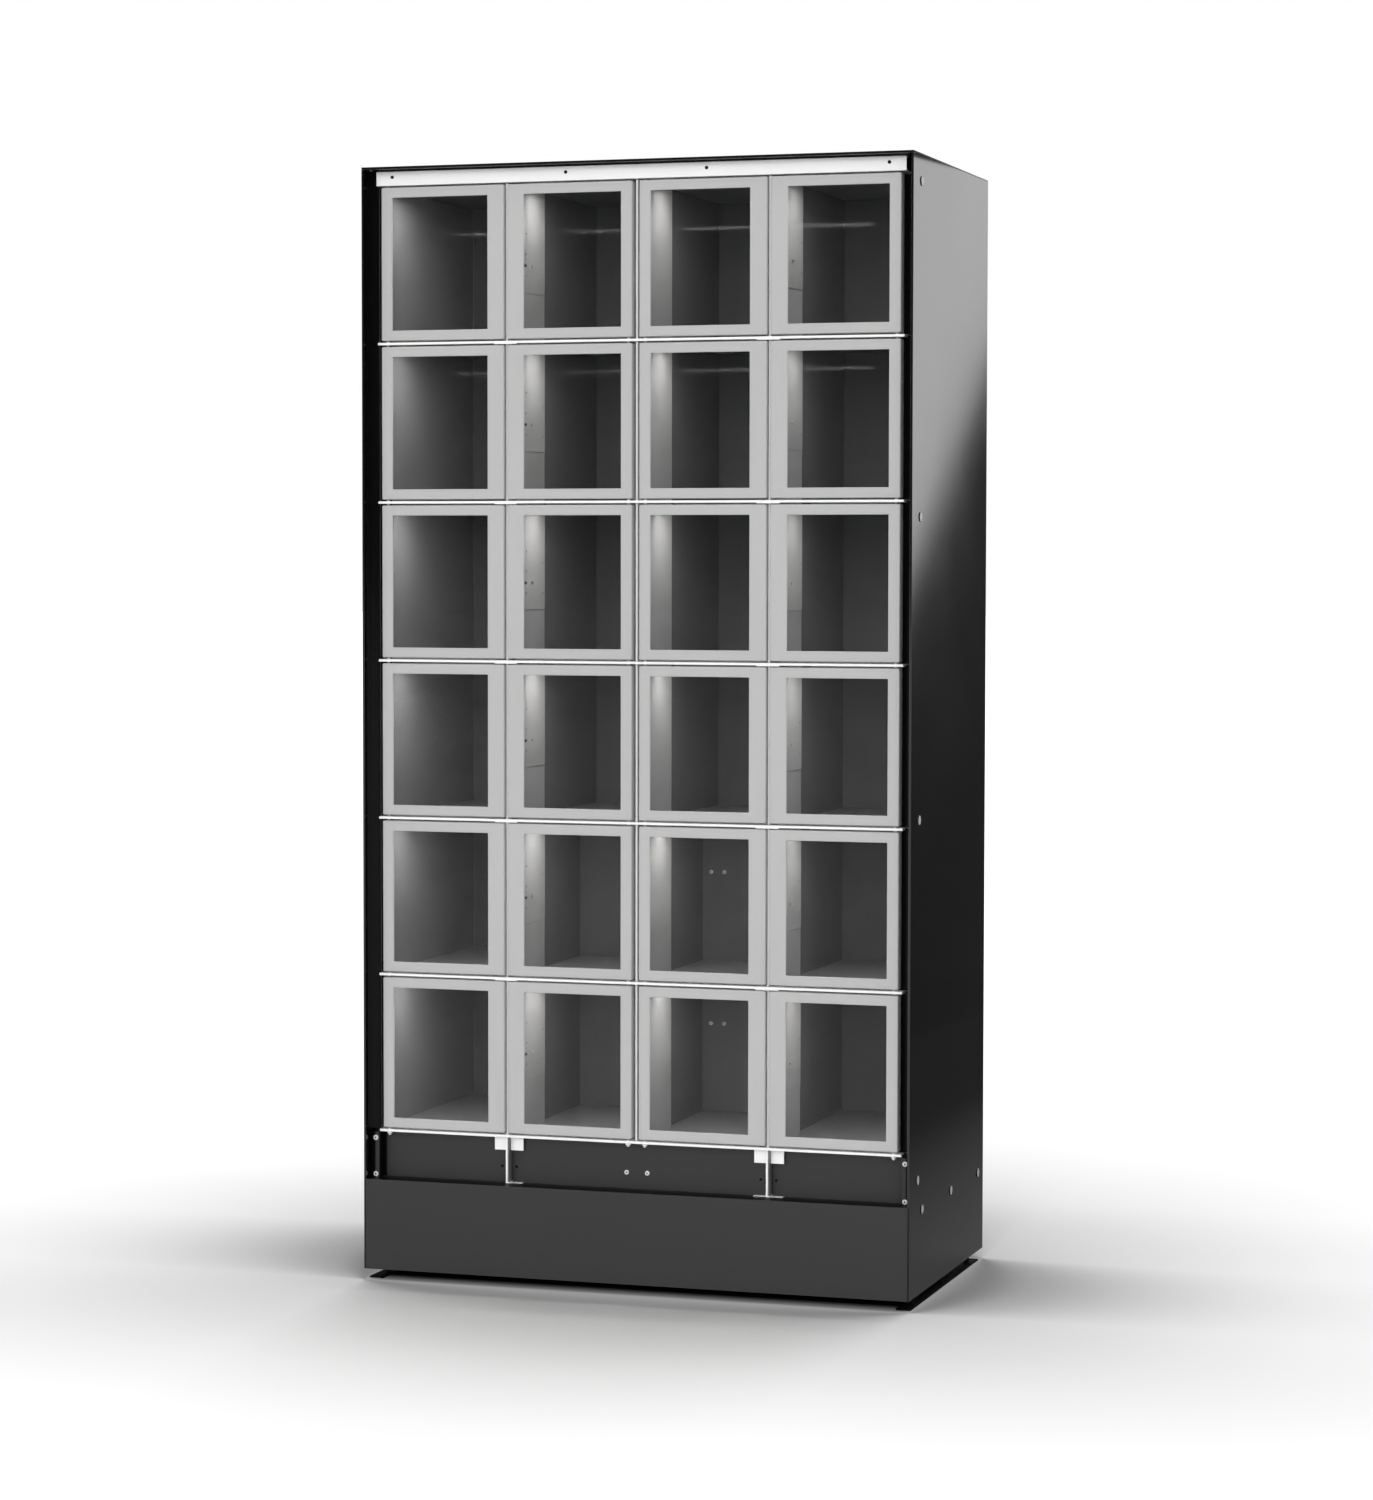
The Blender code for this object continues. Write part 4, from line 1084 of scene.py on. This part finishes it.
close_edit()
tube.data.materials.append(diffuser)
join(bar, tube)
smooth_bends(bar)
for row in range(1, 7):
    raised = (6 - row) * ROW_PITCH - (0.0032 if row == 1 else 0)
    for column, x in enumerate(BAR_COLUMNS, 1):
        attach(copied(bar, f"light_bar_r{row}_c{column}", (x - BAR_X, 0, raised)), "cabinet")
bpy.data.objects.remove(bar)


# Door frames
# Each door is one sheet of light grey painted steel, folded back at its four sides, with the
# window cut out and its edge turned in as a lip. A second fold stiffens the rear rim.
DOOR_WIDTH = 0.2301
DOOR_HEIGHT = 0.2689
DOOR_FRONT = -0.2486
DOOR_REAR = -0.2286
DOOR_GAP = 0.003
PIVOT_INSET = 0.009
HINGE_STILE = 0.0205
LOCK_STILE = 0.0306
RAIL = 0.01795
RIM = 0.007
SHEET = 0.0012
door_left = PIVOTS[0] - PIVOT_INSET
door_right = door_left + DOOR_WIDTH
door_low = FLOOR_TOP + DOOR_GAP
door_high = door_low + DOOR_HEIGHT
door_middle = Vector((door_left + DOOR_WIDTH / 2, DOOR_FRONT, door_low + DOOR_HEIGHT / 2))
window_half = Vector(((DOOR_WIDTH - HINGE_STILE - LOCK_STILE) / 2, 0.0, DOOR_HEIGHT / 2 - RAIL))
window_middle = Vector((door_left + HINGE_STILE + window_half.x, DOOR_FRONT, door_middle.z))


def upright_at(x):
    """A test for the upright edges that lie at x."""
    return lambda middle, along: abs(middle.x - x) < NEAR and abs(along.z) > 0.9


leaf = box_blank(
    "door_frame", (door_left, DOOR_FRONT, door_low), (door_right, DOOR_REAR, door_high)
)
edit(leaf)
choose(leaf, "FACE", lambda middle, normal: normal.y > 0.9)
bpy.ops.mesh.delete(type="ONLY_FACE")
choose(leaf, "FACE", lambda middle, normal: normal.y < -0.9)
bpy.ops.mesh.inset(thickness=RAIL)
choose(leaf, "EDGE", upright_at(door_left + RAIL))
bpy.ops.transform.translate(value=(HINGE_STILE - RAIL, 0, 0))
choose(leaf, "EDGE", upright_at(door_right - RAIL))
bpy.ops.transform.translate(value=(RAIL - LOCK_STILE, 0, 0))
choose(leaf, "FACE", lambda middle, normal: (middle - window_middle).length < 0.001)
bpy.ops.mesh.extrude_region_move(TRANSFORM_OT_translate={"value": (0, 0.0034, 0)})
choose(leaf, "FACE", lambda middle, normal: normal.y < -0.9 and middle.y > DOOR_FRONT + 0.003)
bpy.ops.mesh.delete(type="ONLY_FACE")
choose(leaf, "EDGE", lambda middle, along: abs(middle.y - DOOR_REAR) < NEAR and abs(along.y) < 0.1)
bpy.ops.mesh.extrude_region_move(TRANSFORM_OT_translate={"value": (0, 0, 0)})
bpy.ops.transform.resize(
    value=(1 - 2 * RIM / DOOR_WIDTH, 1, 1 - 2 * RIM / DOOR_HEIGHT),
    center_override=(door_middle.x, DOOR_REAR, door_middle.z),
)
bpy.ops.mesh.select_all(action="SELECT")
bpy.ops.mesh.remove_doubles(threshold=0.00001)
bpy.ops.mesh.normals_make_consistent(inside=False)


def outer_fold(middle, along):
    """The four front edges and the four corner edges of the leaf."""
    side = min(abs(middle.x - door_left), abs(middle.x - door_right)) < NEAR
    end = min(abs(middle.z - door_low), abs(middle.z - door_high)) < NEAR
    front = abs(middle.y - DOOR_FRONT) < NEAR
    return (side and end) or (front and (side or end))


choose(leaf, "EDGE", outer_fold)
bpy.ops.mesh.bevel(offset=0.0024, segments=4)


def window_fold(middle, along):
    """The four edges round the window in the front face."""
    near_x = abs(middle.x - window_middle.x) < window_half.x + NEAR
    near_z = abs(middle.z - window_middle.z) < window_half.z + NEAR
    return abs(middle.y - DOOR_FRONT) < NEAR and near_x and near_z and abs(along.y) < 0.1


choose(leaf, "EDGE", window_fold)
bpy.ops.mesh.bevel(offset=0.0007, segments=2)
close_edit()
folded = leaf.modifiers.new("sheet", "SOLIDIFY")
folded.thickness = SHEET
folded.offset = -1
folded.use_even_offset = True
apply_modifiers(leaf)
smooth_bends(leaf)
DOOR_GREY = (0.50, 0.50, 0.50)
door_rubbed = (0.60, 0.60, 0.60)
door_paint = powder_coat(
    "door_light_grey", DOOR_GREY, door_rubbed, roughness=0.42, cloud=0.025, radius=0.0008
)
leaf.data.materials.append(door_paint)


# Door hardware
# Two turned pivot pins, and a striker plate with an eye that the lock bolt enters. All three are
# zinc-plated steel, welded inside the folds of the leaf.
pins = round_blank("door_pins", (PIVOTS[0], PIVOT_Y, door_low + 0.00305), 0.0025, 0.0099, sides=20)
edit(pins)
choose(pins, "EDGE", lambda middle, along: middle.z < door_low and abs(along.z) < 0.1)
bpy.ops.mesh.bevel(offset=0.0007, segments=2)
bpy.ops.mesh.select_all(action="SELECT")
bpy.ops.mesh.duplicate()
bpy.ops.transform.mirror(
    orient_type="GLOBAL", constraint_axis=(False, False, True), center_override=door_middle
)
face_outwards()
close_edit()
smooth_bends(pins)

striker_x = door_right - 0.005
striker = box_blank(
    "door_striker",
    (striker_x - 0.00125, DOOR_FRONT + SHEET, door_middle.z - 0.011),
    (striker_x + 0.00125, DOOR_FRONT + 0.0386, door_middle.z + 0.011),
)
edit(striker)
choose(striker, "EDGE", lambda middle, along: abs(along.x) > 0.9 and middle.y > DOOR_REAR)
bpy.ops.mesh.bevel(offset=0.004, segments=4)
close_edit()
eye = box_blank(
    "striker_eye",
    (striker_x - 0.003, -0.2220, door_middle.z - 0.006),
    (striker_x + 0.003, -0.2140, door_middle.z + 0.006),
)
edit(eye)
choose(eye, "EDGE", lambda middle, along: abs(along.x) > 0.9)
bpy.ops.mesh.bevel(offset=0.0018, segments=3)
close_edit()
cut_out(striker, eye)
rounding = striker.modifiers.new("rounding", "BEVEL")
rounding.width = 0.0003
rounding.segments = 2
apply_modifiers(striker)
smooth_bends(striker)
join(pins, striker)
pins.data.materials.append(zinc)


# Window seals
# A black rubber strip lies round the rear of each clear pane, and eight steel clips on weld
# studs press it to the leaf.
PANE_REAR = -0.2403
seal_outer = Vector((0.0980, 0.0, 0.1250))
seal = box_blank(
    "window_seal",
    (window_middle.x - seal_outer.x, PANE_REAR + 0.0001, window_middle.z - seal_outer.z),
    (window_middle.x + seal_outer.x, PANE_REAR + 0.0019, window_middle.z + seal_outer.z),
)
edit(seal)
choose(seal, "FACE", lambda middle, normal: abs(normal.y) > 0.9)
bpy.ops.mesh.inset(thickness=0.0042)
bpy.ops.mesh.bridge_edge_loops()
face_outwards()
close_edit()
rubber = bright_metal("seal_rubber", (0.018, 0.018, 0.018), 0.6, metallic=0.0)
seal.data.materials.append(rubber)
smooth_bends(seal)

clip = box_blank(
    "window_clip",
    (window_middle.x - 0.008, PANE_REAR + 0.0019, 0),
    (window_middle.x + 0.008, PANE_REAR + 0.0029, 0.011),
)
edit(clip)
choose(clip, "EDGE", lambda middle, along: abs(along.y) > 0.9)
bpy.ops.mesh.bevel(offset=0.003, segments=3)
close_edit()
nut_place = (window_middle.x, PANE_REAR + 0.0040, 0.0075)
join(clip, round_blank("window_clip_nut", nut_place, 0.0033, 0.0022, axis="Y", sides=6))
clips = []
for angle, reach in ((0, 0.1205), (180, 0.1205), (90, 0.0935), (270, 0.0935)):
    for along_side in (0.055, -0.055):
        made = copied(clip, "window_clip_part", (-window_middle.x, 0, 0))
        made.data.transform(Matrix.Translation((along_side, 0, reach + 0.0005)))
        made.data.transform(Matrix.Rotation(radians(angle), 4, "Y"))
        made.data.transform(Matrix.Translation((window_middle.x, 0, window_middle.z)))
        clips.append(made)
bpy.data.objects.remove(clip)
join(*clips)
clips = clips[0]
clips.name = "window_clips"
clips.data.materials.append(zinc)
smooth_bends(clips)

left_door = (leaf, pins, seal, clips)
right_door = tuple(other_hand(part, part.name + "_right", 0.0) for part in left_door)
for row in range(1, 7):
    raised = (6 - row) * ROW_PITCH
    for column, pivot in enumerate(PIVOTS, 1):
        tag = f"r{row}_c{column}"
        masters, home = (left_door, PIVOTS[0]) if column in (1, 3) else (right_door, PIVOTS[3])
        shift = (pivot - home, 0, raised)
        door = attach(copied(masters[0], f"door_frame_{tag}", shift), f"leaf_{tag}")
        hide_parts(f"door_{tag}")
        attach(copied(masters[1], f"door_hardware_{tag}", shift), f"leaf_{tag}")
        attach(copied(masters[2], f"window_seal_{tag}", shift), f"leaf_{tag}")
        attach(copied(masters[3], f"window_clips_{tag}", shift), f"leaf_{tag}")
for master in left_door + right_door:
    bpy.data.objects.remove(master)


# Windows
# Sheets of clear polycarbonate behind the lip of each leaf. Handling leaves faint smears that
# show only as a slight change in the gloss.
clear = bpy.data.materials.new("clear_polycarbonate")
clear.use_nodes = True
tree = clear.node_tree
shader = tree.nodes["Principled BSDF"]
place = node(tree, "ShaderNodeTexCoord", output="Object")
inputs = {"Vector": place, "Scale": 14.0, "Detail": 5.0, "Distortion": 0.6}
smears = node(tree, "ShaderNodeTexNoise", inputs)
tint = mixed(tree, smears, (0.020, 0.021, 0.022, 1), (0.045, 0.047, 0.050, 1))
tree.links.new(tint, shader.inputs["Base Color"])
tree.links.new(ramp(tree, smears, 0.4, 0.75, 0.05, 0.22), shader.inputs["Roughness"])
tree.links.new(ramp(tree, smears, 0.3, 0.8, 0.07, 0.13), shader.inputs["Alpha"])
shader.inputs["IOR"].default_value = 1.58
for row in range(1, 7):
    for column in range(1, 5):
        dress(f"window_r{row}_c{column}", clear)
